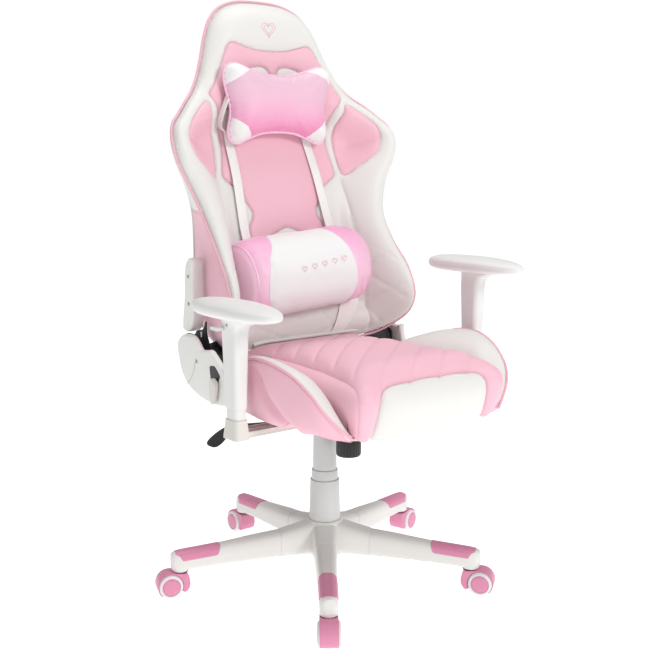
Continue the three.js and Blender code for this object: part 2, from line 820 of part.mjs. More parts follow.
function straps(chair) {
  const band = (foot, head, halfWidth) => {
    const y = [-STRAP_THICK - GAP, -GAP];
    const corner = ([x, z]) => [
      vec(x - halfWidth, y[0], z),
      vec(x + halfWidth, y[0], z),
      vec(x + halfWidth, y[1], z),
      vec(x - halfWidth, y[1], z),
    ];
    return loft([corner(foot), corner(head)]);
  };
  const long = band([70, -300], [104, 200], 13.5);
  const short = block([-104, 104], [-STRAP_THICK - GAP, -GAP], [150, 177]);
  part(chair, "pillow_straps", reclined(join(long, mirrored(long), short)), WHITE_LEATHER);
}

// Pillows, drawn on the back's front face
const HEAD_OUTLINE = [
  [0, 86],
  [-70, 90],
  [-112, 100],
  [-134, 84],
  [-122, 40],
  [-122, 8],
  [-130, -30],
  [-116, -58],
  [-100, -60],
  [-60, -46],
  [0, -40],
  [60, -46],
  [100, -60],
  [116, -58],
  [130, -30],
  [122, 8],
  [122, 40],
  [134, 84],
  [112, 100],
  [70, 90],
];
const HEAD_PILLOW_Z = 132; // the outline's own zero, up the back from BACK_Z

// Layers through the pillow: scale of the outline, and place in front of the back.
const HEAD_LAYERS = [
  [0.72, -4],
  [0.93, -14],
  [1, -34],
  [0.93, -56],
  [0.68, -74],
];

function headPillow(chair) {
  const layer = (scale, y) =>
    HEAD_OUTLINE.map(([x, z]) => vec(x * scale, y, HEAD_PILLOW_Z + 20 + (z - 20) * scale));
  const layers = HEAD_LAYERS.map(([scale, y]) => layer(scale, y));
  part(chair, "head_pillow", reclined(loft(layers)), PINK_SATIN);
}

const LUMBAR_HALF_LENGTH = 162;
const LUMBAR_HEIGHT = 172;
const LUMBAR_DEPTH = 112;
const LUMBAR_Z = -196;
const LUMBAR_TILT_DEG = 4;

function lumbarPillow(chair) {
  const section = (x, scale) => {
    const ring = [];
    for (let degrees = 0; degrees <= 180; degrees += 22.5) {
      const up = (Math.cos(degrees * RAD) * LUMBAR_HEIGHT * scale) / 2;
      const out = Math.sin(degrees * RAD) ** 0.8 * (LUMBAR_DEPTH - 12) * scale;
      ring.push(vec(x, -20 - out, up));
    }
    const rearHalf = 0.36 * LUMBAR_HEIGHT * scale;
    ring.push(vec(x, -8, -rearHalf), vec(x, -8, rearHalf));
    return ring;
  };
  const end = LUMBAR_HALF_LENGTH;
  const stations = [
    [-end, 0.9],
    [-end + 10, 1],
    [end - 10, 1],
    [end, 0.9],
  ];
  const made = loft(stations.map(([x, scale]) => section(x, scale)));
  const tilted = made.rotate([0, -LUMBAR_TILT_DEG, 0]).translate([-2, 0, LUMBAR_Z]);
  part(chair, "lumbar_pillow", reclined(tilted), PINK_SATIN);
}

const chair = new THREE.Group();
base(chair);
for (let i = 0; i < LEG_COUNT; i += 1) caster(chair, i);
column(chair);
mechanism(chair);
tensionKnob(chair);
heightLever(chair);
seat(chair);
arms(chair);
hinges(chair);
reclineLever(chair);
backrest(chair);
straps(chair);
headPillow(chair);
lumbarPillow(chair);
chair.position.y = COLUMN_TO_CENTRE_Y;

export default chair;
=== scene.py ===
# A racing-style gaming chair: its upholstery, plastics and fittings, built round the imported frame.
# Metres, +Z up. The sitter faces -Y and the sitter's left is +X.
# Shapes are drawn from the gas column's axis, and moved onto the frame as they are made.
import json
import math

import bmesh
import bpy
import numpy as np
from mathutils import Matrix, Vector
from mathutils.geometry import delaunay_2d_cdt
from mathutils.kdtree import KDTree


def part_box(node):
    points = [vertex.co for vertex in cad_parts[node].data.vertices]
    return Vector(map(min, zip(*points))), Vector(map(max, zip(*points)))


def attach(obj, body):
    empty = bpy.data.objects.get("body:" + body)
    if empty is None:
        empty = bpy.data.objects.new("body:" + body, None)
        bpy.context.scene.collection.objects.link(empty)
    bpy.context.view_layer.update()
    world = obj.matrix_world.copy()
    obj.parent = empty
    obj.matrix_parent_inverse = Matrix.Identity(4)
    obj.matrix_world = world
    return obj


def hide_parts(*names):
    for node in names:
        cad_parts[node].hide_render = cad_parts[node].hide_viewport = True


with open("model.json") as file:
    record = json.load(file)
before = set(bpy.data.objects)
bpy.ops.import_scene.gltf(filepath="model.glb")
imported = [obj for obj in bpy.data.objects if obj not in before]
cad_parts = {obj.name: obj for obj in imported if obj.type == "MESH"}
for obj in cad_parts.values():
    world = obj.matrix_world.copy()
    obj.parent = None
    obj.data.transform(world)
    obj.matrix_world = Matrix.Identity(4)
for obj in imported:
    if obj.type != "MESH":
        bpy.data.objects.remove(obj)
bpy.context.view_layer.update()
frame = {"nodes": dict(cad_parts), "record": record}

rod_low, rod_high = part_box("piston_rod")
COLUMN = np.array([0, (rod_low.y + rod_high.y) / 2, 0])  # the gas column's axis

# Driving dimensions
BACK_Y = 0.155  # the backrest's front face at BACK_Z
BACK_Z = 0.863
BACK_SLOPE = 0.18  # backward per unit of height
PIPING_R = 0.0026
SEAM_DEPTH = 0.0030
COVER_THICK = 0.006
SOFT_ANGLE = 60  # the sharpest bend, in degrees, that still looks smooth on a padded piece
FRAME_BEVEL = 0.0008
SATIN_WANDER = 0.035  # how far up and down the satin's colours stray
CLOTH_LIMIT = 0.0045  # how far the pillows' cloth may move as it settles
SIDE_NAMES = {1: "left", -1: "right"}


# ---------------------------------------------------------------- curves
def smooth(points, step, closed=False):
    """Evenly spaced points on the smooth curve through a few points."""
    p = np.asarray(points, float)
    if closed:
        p = np.vstack([p[-1], p, p[:2]])
    else:
        p = np.vstack([2 * p[0] - p[1], p, 2 * p[-1] - p[-2]])
    fine = []
    for a, b, c, d in zip(p[:-3], p[1:-2], p[2:-1], p[3:]):
        gaps = [max(np.linalg.norm(v), 1e-6) ** 0.5 for v in (b - a, c - b, d - c)]
        t = np.cumsum([0, *gaps])
        u = np.linspace(t[1], t[2], 17)[:-1, None]

        def mix(q, r, i, j):
            return (q * (t[j] - u) + r * (u - t[i])) / (t[j] - t[i])

        near, middle, far = mix(a, b, 0, 1), mix(b, c, 1, 2), mix(c, d, 2, 3)
        fine.append(mix(mix(near, middle, 0, 2), mix(middle, far, 1, 3), 1, 2))
    fine = np.vstack([*fine, p[-2:-1]])
    return respaced(fine, step, closed)


def respaced(line, step, closed=False):
    """A polyline's points again, evenly spaced along it."""
    gaps = np.linalg.norm(np.diff(line, axis=0), axis=1)
    along = np.concatenate([[0], np.cumsum(gaps)])
    count = max(4, round(along[-1] / step))
    stations = np.linspace(0, along[-1], count + 1)
    columns = [np.interp(stations, along, line[:, i]) for i in range(line.shape[1])]
    points = np.column_stack(columns)
    return points[:-1] if closed else points


def smoothstep(share):
    share = np.clip(share, 0, 1)
    return share * share * (3 - 2 * share)


def mirrored(points):
    """Points on the other side of the chair's middle plane, in the opposite order."""
    return np.asarray(points)[::-1] * ([-1] + [1] * (np.shape(points)[1] - 1))


def both_sides(half):
    """A closed loop's control points from its right half, drawn from bottom to top."""
    half = np.asarray(half, float)
    other = mirrored(half)
    ends_shared = [abs(half[-1][0]) < 1e-9, abs(half[0][0]) < 1e-9]
    other = other[1:] if ends_shared[0] else other
    other = other[:-1] if ends_shared[1] else other
    return np.vstack([half, other])


# ---------------------------------------------------------------- mesh shapes: (points, faces)
def joined(*shapes):
    points, faces, start = [], [], 0
    for shape_points, shape_faces in shapes:
        points.append(np.asarray(shape_points, float))
        faces += [tuple(i + start for i in face) for face in shape_faces]
        start += len(shape_points)
    return np.vstack(points), faces


def loft(rings, loop=True, caps=True):
    """A skin over rings of equally many points."""
    count = len(rings[0])
    faces = []
    for r in range(len(rings) - 1):
        for i in range(count if loop else count - 1):
            j = (i + 1) % count
            a, b = r * count, (r + 1) * count
            faces.append((a + i, a + j, b + j, b + i))
    if caps:
        faces.append(tuple(range(count))[::-1])
        faces.append(tuple((len(rings) - 1) * count + i for i in range(count)))
    return np.vstack(rings), faces


def circle(sides):
    """Points evenly round a circle of radius 1."""
    turn = np.linspace(0, 2 * math.pi, sides, endpoint=False)
    return np.column_stack([np.cos(turn), np.sin(turn)])


def turned_rings(profile, sides):
    return [np.column_stack([circle(sides) * r, np.full(sides, z)]) for r, z in profile]


def lathe(profile, sides=64):
    """A profile of [radius, height] points turned about the Z axis, closed at both ends."""
    return loft(turned_rings(profile, sides))


def frames_along(path, closed):
    """Tangents, and two steady directions across, at each point of a path."""
    ahead = np.roll(path, -1, axis=0) - np.roll(path, 1, axis=0)
    if not closed:
        ahead[0] = path[1] - path[0]
        ahead[-1] = path[-1] - path[-2]
    ahead /= np.linalg.norm(ahead, axis=1)[:, None]
    start = np.cross(ahead[0], [0.3, 0.2, 1.0])
    across = [start / np.linalg.norm(start)]
    for tangent in ahead[1:]:
        turned = across[-1] - tangent * (across[-1] @ tangent)
        across.append(turned / np.linalg.norm(turned))
    across = np.array(across)
    return ahead, across, np.cross(ahead, across)


def ring_loft(rings):
    """A skin over rings that come back to the first one."""
    points, faces = loft([*rings, rings[0]], caps=False)
    count = len(rings) * len(rings[0])
    return points[:count], [tuple(i % count for i in face) for face in faces]


def turned(profile, sides=96):
    """A closed profile of [radius, height] points turned about the Z axis."""
    return ring_loft(turned_rings(profile, sides))


def tube(path, radius, sides=10, closed=False):
    path = np.asarray(path, float)
    _, across, other = frames_along(path, closed)
    c, s = circle(sides).T
    rings = [p + radius * (np.outer(c, a) + np.outer(s, b)) for p, a, b in zip(path, across, other)]
    return ring_loft(rings) if closed else loft(rings)


def sheet_with_back(points, faces, inward):
    """A closed body: a surface, a copy of it moved inward, and walls along its border."""
    points = np.asarray(points, float)
    count = len(points)
    used = {}
    for face in faces:
        for a, b in zip(face, face[1:] + face[:1]):
            used[(a, b)] = True
    border = [edge for edge in used if (edge[1], edge[0]) not in used]
    back = [tuple(i + count for i in face[::-1]) for face in faces]
    walls = [(b, a, a + count, b + count) for a, b in border]
    return np.vstack([points, points + inward]), [*faces, *back, *walls]


def transformed(shape, matrix):
    points, faces = shape
    m = np.array(matrix)
    return points @ m[:3, :3].T + m[:3, 3], faces


def inside(points, loop):
    """Which of some 2-D points lie inside a closed loop."""
    x, y = points[:, 0:1], points[:, 1:2]
    x0, y0 = loop[:, 0], loop[:, 1]
    x1, y1 = np.roll(x0, -1), np.roll(y0, -1)
    crosses = (y0 > y) != (y1 > y)
    with np.errstate(divide="ignore", invalid="ignore"):
        at = (x1 - x0) * (y - y0) / (y1 - y0) + x0
    return (np.sum(crosses & (x < at), axis=1) % 2) == 1


def tree_of(points):
    tree = KDTree(len(points))
    for i, point in enumerate(points):
        tree.insert(point, i)
    tree.balance()
    return tree


def distance_to(points, samples):
    """Distance from each point to the nearest sample, all of them 2-D or all 3-D."""
    missing = ((0, 0), (0, 3 - samples.shape[1]))
    tree = tree_of(np.pad(samples, missing))
    return np.array([tree.find(p)[2] for p in np.pad(points, missing)])


def triangulated(outline, lines, step):
    """Triangles that fill a closed 2-D outline and follow the given lines inside it.

    lines are (points, closed) pairs. Returns the points and the triangles.
    """
    low, high = outline.min(0), outline.max(0)
    columns = np.arange(low[0], high[0], step)
    rows = np.arange(low[1], high[1], step * 0.866)
    grid = np.array([
        (x + (step / 2 if k % 2 else 0), y) for k, y in enumerate(rows) for x in columns
    ])
    grid = grid[inside(grid, outline)]
    fixed = np.vstack([outline, *[p for p, _ in lines]])
    grid = grid[distance_to(grid, fixed) > step * 0.6]
    edges, start = [], 0
    for loop, closed in [(outline, True), *lines]:
        n = len(loop)
        edges += [(start + i, start + (i + 1) % n) for i in range(n if closed else n - 1)]
        start += n
    points = [Vector(p) for p in np.vstack([fixed, grid])]
    made = delaunay_2d_cdt(points, edges, [], 0, 1e-6)
    flat = np.array([tuple(v) for v in made[0]])
    faces = [tuple(f) for f in made[2]]
    centres = np.array([flat[list(f)].mean(0) for f in faces])
    return only(flat, faces, inside(centres, outline))[:2]


def vertex_normals(points, triangles):
    tri = np.array(triangles)
    a, b, c = points[tri[:, 0]], points[tri[:, 1]], points[tri[:, 2]]
    face_normals = np.cross(b - a, c - a)
    normals = np.zeros_like(points)
    for k in range(3):
        np.add.at(normals, tri[:, k], face_normals)
    return normals / np.maximum(np.linalg.norm(normals, axis=1), 1e-12)[:, None]


def only(points, faces, wanted):
    """The faces that are wanted, the points they use, and which points those were."""
    faces = [f for f, w in zip(faces, wanted) if w]
    used = sorted({i for f in faces for i in f})
    renamed = {old: new for new, old in enumerate(used)}
    return points[used], [tuple(renamed[i] for i in f) for f in faces], used


def plate(outline, low, high, radius, place, steps=4):
    """A slab with rounded edges: a closed 2-D outline, thick from low to high."""
    loop = np.asarray(outline, float)
    ahead = np.roll(loop, -1, axis=0) - np.roll(loop, 1, axis=0)
    area = np.sum(loop[:, 0] * np.roll(loop[:, 1], -1) - np.roll(loop[:, 0], -1) * loop[:, 1])
    inward = np.column_stack([-ahead[:, 1], ahead[:, 0]]) * np.sign(area)
    inward /= np.linalg.norm(inward, axis=1)[:, None]
    rings = []
    for k in range(steps + 1):
        turn = k / steps * math.pi / 2
        rings.append((1 - math.sin(turn), low + radius * (1 - math.cos(turn))))
    rings += [(step_in, high + low - level) for step_in, level in rings[::-1]]
    flat = [np.column_stack([loop + inward * radius * r, np.full(len(loop), z)]) for r, z in rings]
    points, faces = loft(flat, caps=False)
    inner = flat[0][:, :2]
    made = delaunay_2d_cdt(
        [Vector(p) for p in inner],
        [(i, (i + 1) % len(inner)) for i in range(len(inner))],
        [],
        1,
        1e-9,
    )
    cap = [tuple(f) for f in made[2]]
    last = (len(flat) - 1) * len(loop)
    if len(made[0]) != len(inner):
        cap = [tuple(range(len(loop)))]
    faces += [tuple(reversed(f)) for f in cap] + [tuple(i + last for i in f) for f in cap]
    return place(points), faces


def across_x(points):
    """(y, z, x) columns as (x, y, z)."""
    return points[:, [2, 0, 1]]


def upright(points):
    return points


# ---------------------------------------------------------------- pieces
def make(name, shape, material, body, angle=40):
    """A finished piece: placed on the frame, smooth except at sharp edges, riding on a body."""
    points, faces = shape
    mesh = bpy.data.meshes.new(name)
    mesh.from_pydata((np.asarray(points) + COLUMN).tolist(), [], faces)
    work = bmesh.new()
    work.from_mesh(mesh)
    bmesh.ops.recalc_face_normals(work, faces=work.faces)
    work.to_mesh(mesh)
    work.free()
    mesh.shade_smooth()
    mesh.set_sharp_from_angle(angle=math.radians(angle))
    mesh.materials.append(MATERIALS[material])
    obj = bpy.data.objects.new(name, mesh)
    bpy.context.scene.collection.objects.link(obj)
    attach(obj, body)
    return obj


def cushion(name, shape, material, body):
    """A padded piece."""
    obj = make(name, shape, material, body, SOFT_ANGLE)
    return obj


# ---------------------------------------------------------------- materials
def new_material(name):
    material = bpy.data.materials.new(name)
    material.use_nodes = True
    nodes = material.node_tree.nodes
    return material, nodes, material.node_tree.links, nodes["Principled BSDF"]


def node(nodes, kind, **values):
    made = nodes.new(kind)
    for key, value in values.items():
        if key in made.bl_rna.properties:
            setattr(made, key, value)
        else:
            made.inputs[key].default_value = value
    return made


def mix_colour(nodes, links, factor, low, high):
    mixed = nodes.new("ShaderNodeMix")
    mixed.data_type = "RGBA"
    links.new(factor, mixed.inputs["Factor"])
    for socket, value in (("A", low), ("B", high)):
        target = [s for s in mixed.inputs if s.name == socket and s.type == "RGBA"][0]
        target.default_value = (*value, 1)
    return [s for s in mixed.outputs if s.type == "RGBA"][0]


class Finish:
    """A material being made of textures that lie in the chair's own space."""

    def __init__(self, name):
        self.material, self.nodes, self.links, self.shader = new_material(name)
        self.place = self.nodes.new("ShaderNodeTexCoord").outputs["Object"]

    def texture(self, kind, **values):
        made = node(self.nodes, f"ShaderNodeTex{kind}", **values)
        self.links.new(self.place, made.inputs["Vector"])
        return made.outputs["Distance" if kind == "Voronoi" else "Fac"]

    def maths(self, operation, *sources):
        """A Math node over sockets and numbers."""
        made = node(self.nodes, "ShaderNodeMath", operation=operation)
        for socket, source in zip(made.inputs, sources):
            if isinstance(source, float):
                socket.default_value = source
            else:
                self.links.new(source, socket)
        return made.outputs["Value"]

    def colour(self, share, low, high):
        mixed = mix_colour(self.nodes, self.links, share, low, high)
        self.links.new(mixed, self.shader.inputs["Base Color"])

    def roughness(self, share, low, high):
        spread = self.nodes.new("ShaderNodeMapRange")
        spread.inputs["To Min"].default_value = low
        spread.inputs["To Max"].default_value = high
        self.links.new(share, spread.inputs["Value"])
        self.links.new(spread.outputs["Result"], self.shader.inputs["Roughness"])

    def relief(self, height, strength, distance):
        bump = node(self.nodes, "ShaderNodeBump", Strength=strength, Distance=distance)
        self.links.new(height, bump.inputs["Height"])
        self.links.new(bump.outputs["Normal"], self.shader.inputs["Normal"])

    def finished(self, constants):
        for name, value in constants.items():
            self.shader.inputs[name].default_value = value
        return self.material


def leather(name, colour, shade, roughness=0.46, grain=620, relief=0.00022):
    """Coated fabric with a fine pebbled grain and a slightly uneven tone."""
    paint = Finish(name)
    pebbles = paint.texture("Voronoi", feature="SMOOTH_F1", Scale=grain, Smoothness=0.6)
    fine = paint.texture("Noise", Scale=grain * 2.2, Detail=3.0)
    tone = paint.texture("Noise", Scale=9.0, Detail=4.0, Roughness=0.6)
    wear = paint.texture("Noise", Scale=45.0, Detail=5.0, Roughness=0.7)
    paint.colour(tone, shade, colour)
    paint.roughness(wear, roughness - 0.07, roughness + 0.09)
    paint.relief(paint.maths("MULTIPLY_ADD", fine, 0.35, pebbles), 0.35, relief)
    return paint.finished({"Specular IOR Level": 0.42, "Sheen Weight": 0.08, "Sheen Roughness": 0.5})


def satin(name, low, high, z_low, z_high, middle=None):
    """Stretch satin with a fine knit and a soft sheen, and a colour gradient up the piece that paints
    the satin's highlight and shade by height.
    """
    paint = Finish(name)
    split = paint.nodes.new("ShaderNodeSeparateXYZ")
    paint.links.new(paint.place, split.inputs["Vector"])
    wander = paint.texture("Noise", Scale=14.0, Detail=3.0)
    shifted = paint.maths("MULTIPLY_ADD", wander, SATIN_WANDER, split.outputs["Z"])
    share = paint.nodes.new("ShaderNodeMapRange")
    share.inputs["From Min"].default_value = z_low + SATIN_WANDER / 2
    share.inputs["From Max"].default_value = z_high + SATIN_WANDER / 2
    paint.links.new(shifted, share.inputs["Value"])
    # The ramp is painted light: its pale colours are painted highlight, its deep and greyish ones
    # painted shade.
    ramp = paint.nodes.new("ShaderNodeValToRGB")
    ramp.color_ramp.interpolation = "B_SPLINE"
    ramp.color_ramp.elements[0].color = (*low, 1)
    ramp.color_ramp.elements[1].color = (*high, 1)
    # middle is a pale band of painted highlight half way up the gradient.
    if middle:
        ramp.color_ramp.elements.new(0.5).color = (*middle, 1)
    paint.links.new(share.outputs["Result"], ramp.inputs["Fac"])
    paint.links.new(ramp.outputs["Color"], paint.shader.inputs["Base Color"])
    knit = paint.texture("Wave", Scale=420.0, Distortion=1.5, Detail=1.0)
    rib = paint.texture("Noise", Scale=900.0, Detail=2.0)
    paint.relief(paint.maths("ADD", knit, rib), 0.16, 0.0002)
    paint.roughness(wander, 0.34, 0.5)
    return paint.finished({
        "Sheen Weight": 0.55, "Sheen Roughness": 0.35, "Sheen Tint": (1.0, 0.86, 0.95, 1),
    })


def plastic(name, colour, shade, roughness=0.4):
    """Moulded plastic with a fine spark-eroded texture and slightly uneven gloss."""
    paint = Finish(name)
    paint.colour(paint.texture("Noise", Scale=16.0, Detail=4.0), shade, colour)
    gloss = paint.texture("Noise", Scale=60.0, Detail=6.0, Roughness=0.65)
    paint.roughness(gloss, roughness - 0.06, roughness + 0.08)
    paint.relief(paint.texture("Noise", Scale=1500.0, Detail=2.0), 0.3, 0.00006)
    return paint.finished({"Specular IOR Level": 0.5})


def metal(name, colour, roughness, brushed=(1, 1, 1), metallic=1.0):
    """Steel: brushed or powder coated, with uneven gloss."""
    paint = Finish(name)
    stretch = paint.nodes.new("ShaderNodeMapping")
    stretch.inputs["Scale"].default_value = brushed
    paint.links.new(paint.place, stretch.inputs["Vector"])
    paint.place = stretch.outputs["Vector"]
    streaks = paint.texture("Noise", Scale=500.0, Detail=4.0)
    paint.roughness(streaks, roughness - 0.08, roughness + 0.12)
    paint.colour(streaks, tuple(c * 0.75 for c in colour), colour)
    paint.relief(streaks, 0.2, 0.0001)
    return paint.finished({"Metallic": metallic})


PINK = (0.85, 0.50, 0.59)
PINK_SHADE = (0.82, 0.465, 0.555)
WHITE = (0.760, 0.752, 0.722)
WHITE_SHADE = (0.735, 0.726, 0.696)

MATERIALS = {
    "pink_leather": leather("pink_leatherette", PINK, PINK_SHADE),
    "white_leather": leather("white_leatherette", WHITE, WHITE_SHADE),
    "pink_piping": leather("pink_piping", (0.82, 0.45, 0.54), (0.79, 0.42, 0.51), grain=900),
    "satin_piping": leather("satin_piping", (0.90, 0.56, 0.72), (0.88, 0.52, 0.68), 0.36, 1500),
    "white_strap": leather("white_strap", (0.86, 0.85, 0.82), (0.82, 0.81, 0.78), grain=1100),
    # The pillows' satin colours paint light: a pale middle of painted highlight, with painted shade in
    # the deeper ends.
    "head_satin": satin(
        "head_satin", (0.80, 0.24, 0.45), (0.74, 0.50, 0.60), 0.955, 1.06, (0.85, 0.48, 0.64)
    ),
    "lumbar_satin": satin(
        "lumbar_satin", (0.86, 0.42, 0.62), (0.84, 0.34, 0.58), 0.58, 0.75, (0.93, 0.66, 0.78)
    ),
    # A lighter copy of the lumbar satin for the pillow's ends: painted light that brightens the ends
    # against their shade.
    "lumbar_end_painted_lit": satin(
        "lumbar_end_painted_lit", (0.95, 0.58, 0.74), (0.92, 0.46, 0.66), 0.58, 0.75, (0.97, 0.66, 0.80)
    ),
    "white_satin": leather("white_satin", (0.84, 0.83, 0.82), (0.80, 0.80, 0.80), 0.5, 1500, 0.0001),
    "white_plastic": plastic("white_plastic", (0.80, 0.79, 0.76), (0.76, 0.75, 0.72)),
    "arm_plastic": plastic("arm_plastic", (0.79, 0.79, 0.78), (0.76, 0.76, 0.75), 0.5),
    "column_plastic": plastic("column_plastic", (0.70, 0.70, 0.685), (0.66, 0.66, 0.65), 0.42),
    "socket_plastic": plastic("socket_plastic", (0.72, 0.70, 0.65), (0.69, 0.67, 0.62), 0.42),
    "cover_plastic": plastic("cover_plastic", (0.80, 0.80, 0.775), (0.77, 0.77, 0.745), 0.46),
    # A near-black pink that paints shadow: the shade in the gap under each leg's end.
    "painted_shadow_pink": plastic("painted_shadow_pink", (0.20, 0.05, 0.09), (0.16, 0.04, 0.07), 0.7),
    "seam_grey": plastic("seam_grey", (0.36, 0.35, 0.33), (0.30, 0.29, 0.28), 0.6),
    "slot_light": plastic("slot_light", (0.80, 0.79, 0.76), (0.74, 0.73, 0.70), 0.6),
    "embroidery": satin("embroidery", (0.80, 0.48, 0.55), (0.82, 0.50, 0.57), 1.16, 1.20),
    "pink_plastic": plastic("pink_plastic", (0.74, 0.28, 0.43), (0.70, 0.25, 0.40), 0.38),
    "wheel_white": plastic("wheel_white", (0.82, 0.78, 0.79), (0.78, 0.73, 0.75), 0.35),
    "black_plastic": plastic("black_plastic", (0.012, 0.012, 0.013), (0.02, 0.02, 0.021), 0.45),
    "black_steel": metal("black_steel", (0.018, 0.018, 0.02), 0.42, metallic=0.4),
    "bright_steel": metal("bright_steel", (0.62, 0.63, 0.65), 0.26, (1, 1, 40)),
    "screw_steel": metal("screw_steel", (0.45, 0.45, 0.46), 0.35),
}
# The record's material slots, each with the materials made in its family. The first
# material is the one that the slot's own CAD nodes get.
SLOTS = {
    "pink_leatherette": ["pink_leather", "pink_piping"],
    "white_leatherette": ["white_leather", "white_strap", "white_satin"],
    "pink_satin": ["head_satin", "satin_piping", "lumbar_satin", "lumbar_end_painted_lit", "embroidery"],
    "base_plastic": [
        "white_plastic", "arm_plastic", "column_plastic", "socket_plastic", "cover_plastic",
        "seam_grey", "slot_light",
    ],
    "pink_plastic": ["pink_plastic", "painted_shadow_pink"],
    "wheel_plastic": ["wheel_white"],
    "black_plastic": ["black_plastic"],
    "black_steel": ["black_steel"],
    "bright_steel": ["bright_steel", "screw_steel"],
}


def paint_frame():
    """Each CAD node that stays in view gets the material of its slot, and softer edges."""
    for subpart in frame["record"]["subparts"]:
        material = MATERIALS[SLOTS[subpart["material_slot"]][0]]
        obj = frame["nodes"][subpart["node"]]
        for slot in obj.material_slots:
            slot.material = material
        edges = obj.modifiers.new("rounded_edges", "BEVEL")
        edges.width = FRAME_BEVEL
        edges.segments = 2
        edges.limit_method = "ANGLE"
        edges.angle_limit = math.radians(32)


# ---------------------------------------------------------------- sewn covers
def sewn(outline, seams, regions, surface, step, crown, reach, centre, quilt=None):
    """Sewn panels over a curved surface, one field that piece_from takes its pieces from.

    outline and seams are 2-D; seams are (points, closed) pairs. regions are (name, loop) pairs,
    and what is in none of them is named "rest". surface maps 2-D points to the chair.
    crown is how far a panel swells between its seams, over a distance of about reach.
    The outer side is the one away from centre. quilt is further relief by 2-D point.
    """
    flat, triangles = triangulated(outline, seams, step)
    loops = [np.vstack([p, p[:1]]) if closed else p for p, closed in [(outline, True), *seams]]
    away = distance_to(flat, np.vstack([respaced(loop, 0.0015) for loop in loops]))
    points = surface(flat)
    normals = vertex_normals(points, triangles)
    if np.mean((points - centre) * normals) < 0:
        normals = -normals
        triangles = [tuple(reversed(t)) for t in triangles]
    lift = crown * (1 - np.exp(-away / reach)) - SEAM_DEPTH * np.exp(-((away / 0.0028) ** 2))
    if quilt is not None:
        lift = lift + quilt(flat)
    centres = flat[np.array(triangles)].mean(1)
    taken = np.zeros(len(triangles), bool)
    chosen = {}
    for name, loop in regions:
        chosen[name] = inside(centres, loop) & ~taken
        taken |= chosen[name]
    chosen["rest"] = ~taken
    return points + normals * lift[:, None], normals, triangles, chosen


def backward(z):
    """Where the backrest's front plane stands at a height."""
    return BACK_Y + BACK_SLOPE * (z - BACK_Z)


# The wing's front edge, right half from bottom to top: half width, height, and how far it
# stands forward of the back's plane.
EDGE = [
    (0.0, 0.5, 0.0), (0.1, 0.5, 0.0), (0.165, 0.503, 0.006), (0.2, 0.512, 0.024),
    (0.222, 0.531, 0.055), (0.236, 0.56, 0.096), (0.239, 0.588, 0.117), (0.238, 0.615, 0.124),
    (0.235, 0.666, 0.111), (0.23, 0.713, 0.08), (0.231, 0.768, 0.052), (0.241, 0.813, 0.042),
    (0.257, 0.854, 0.04), (0.277, 0.895, 0.046), (0.287, 0.94, 0.05), (0.279, 0.968, 0.045),
    (0.262, 0.985, 0.038), (0.235, 1.01, 0.024), (0.203, 1.037, 0.004), (0.18, 1.068, -0.008),
    (0.163, 1.103, -0.015), (0.144, 1.153, -0.02), (0.126, 1.187, -0.023), (0.1, 1.213, -0.025),
    (0.058, 1.229, -0.027), (0.0, 1.233, -0.028),
]
# The rear rim at the same stations: half width, height, depth behind the back's plane.
RIM = [
    (0.0, 0.512, 0.062), (0.11, 0.512, 0.064), (0.158, 0.515, 0.068), (0.178, 0.522, 0.074),
    (0.188, 0.538, 0.08), (0.193, 0.564, 0.085), (0.194, 0.59, 0.088), (0.193, 0.615, 0.089),
    (0.191, 0.666, 0.089), (0.187, 0.713, 0.088), (0.182, 0.768, 0.088), (0.184, 0.813, 0.088),
    (0.194, 0.854, 0.088), (0.207, 0.895, 0.087), (0.213, 0.94, 0.085), (0.206, 0.966, 0.082),
    (0.193, 0.985, 0.079), (0.172, 1.01, 0.075), (0.15, 1.04, 0.07), (0.138, 1.072, 0.066),
    (0.128, 1.106, 0.062), (0.113, 1.153, 0.056), (0.097, 1.186, 0.052), (0.074, 1.208, 0.049),
    (0.042, 1.22, 0.047), (0.0, 1.223, 0.046),
]
WING_REACH = 0.092  # how far in from the edge a wing begins to rise
PADDING = [0.004, 0.010, 0.014, 0.016, 0.022, 0.029, 0.026, 0.014, 0.004]  # of the wings
PADDING_Z = [0.50, 0.53, 0.60, 0.70, 0.80, 0.90, 1.00, 1.06, 1.12]
INSIDE_BACK = (0, 0.19, 0.87)
HEM_ENDS, HEM_Y, HEM_Z = (-0.128, 0.186), 0.0800, 0.5170
RING_STEP = 0.005

edge_and_rim = np.hstack([np.array(EDGE), np.array(RIM)])


def ring_pair():
    """The front edge and the rear rim, point for point, as closed loops."""
    half = edge_and_rim
    other = half[::-1][1:-1].copy()
    other[:, 0] *= -1
    other[:, 3] *= -1
    both = smooth(np.vstack([half, other]), RING_STEP, closed=True)
    return both[:, :3], both[:, 3:]


edge_ring, rim_ring = ring_pair()


def hollow(z):
    """The back's middle lies a little deeper at the neck, and fuller at the loins."""
    return 0.011 * np.exp(-(((z - 0.945) / 0.06) ** 2)) - 0.010 * np.exp(-(((z - 0.62) / 0.09) ** 2))


def off_back(flat, behind):
    """(x, z) points at a distance behind the plane of the back's front."""
    return np.column_stack([flat[:, 0], backward(flat[:, 1]) + behind, flat[:, 1]])


def carried_in(flat, ring):
    """A ring's third column carried in to some points: the nearest of it counts most."""
    gaps = np.linalg.norm(flat[:, None, :] - ring[None, ::3, :2], axis=2)
    weights = 1 / np.maximum(gaps, 1e-4) ** 3
    return (weights * ring[None, ::3, 2]).sum(1) / weights.sum(1)


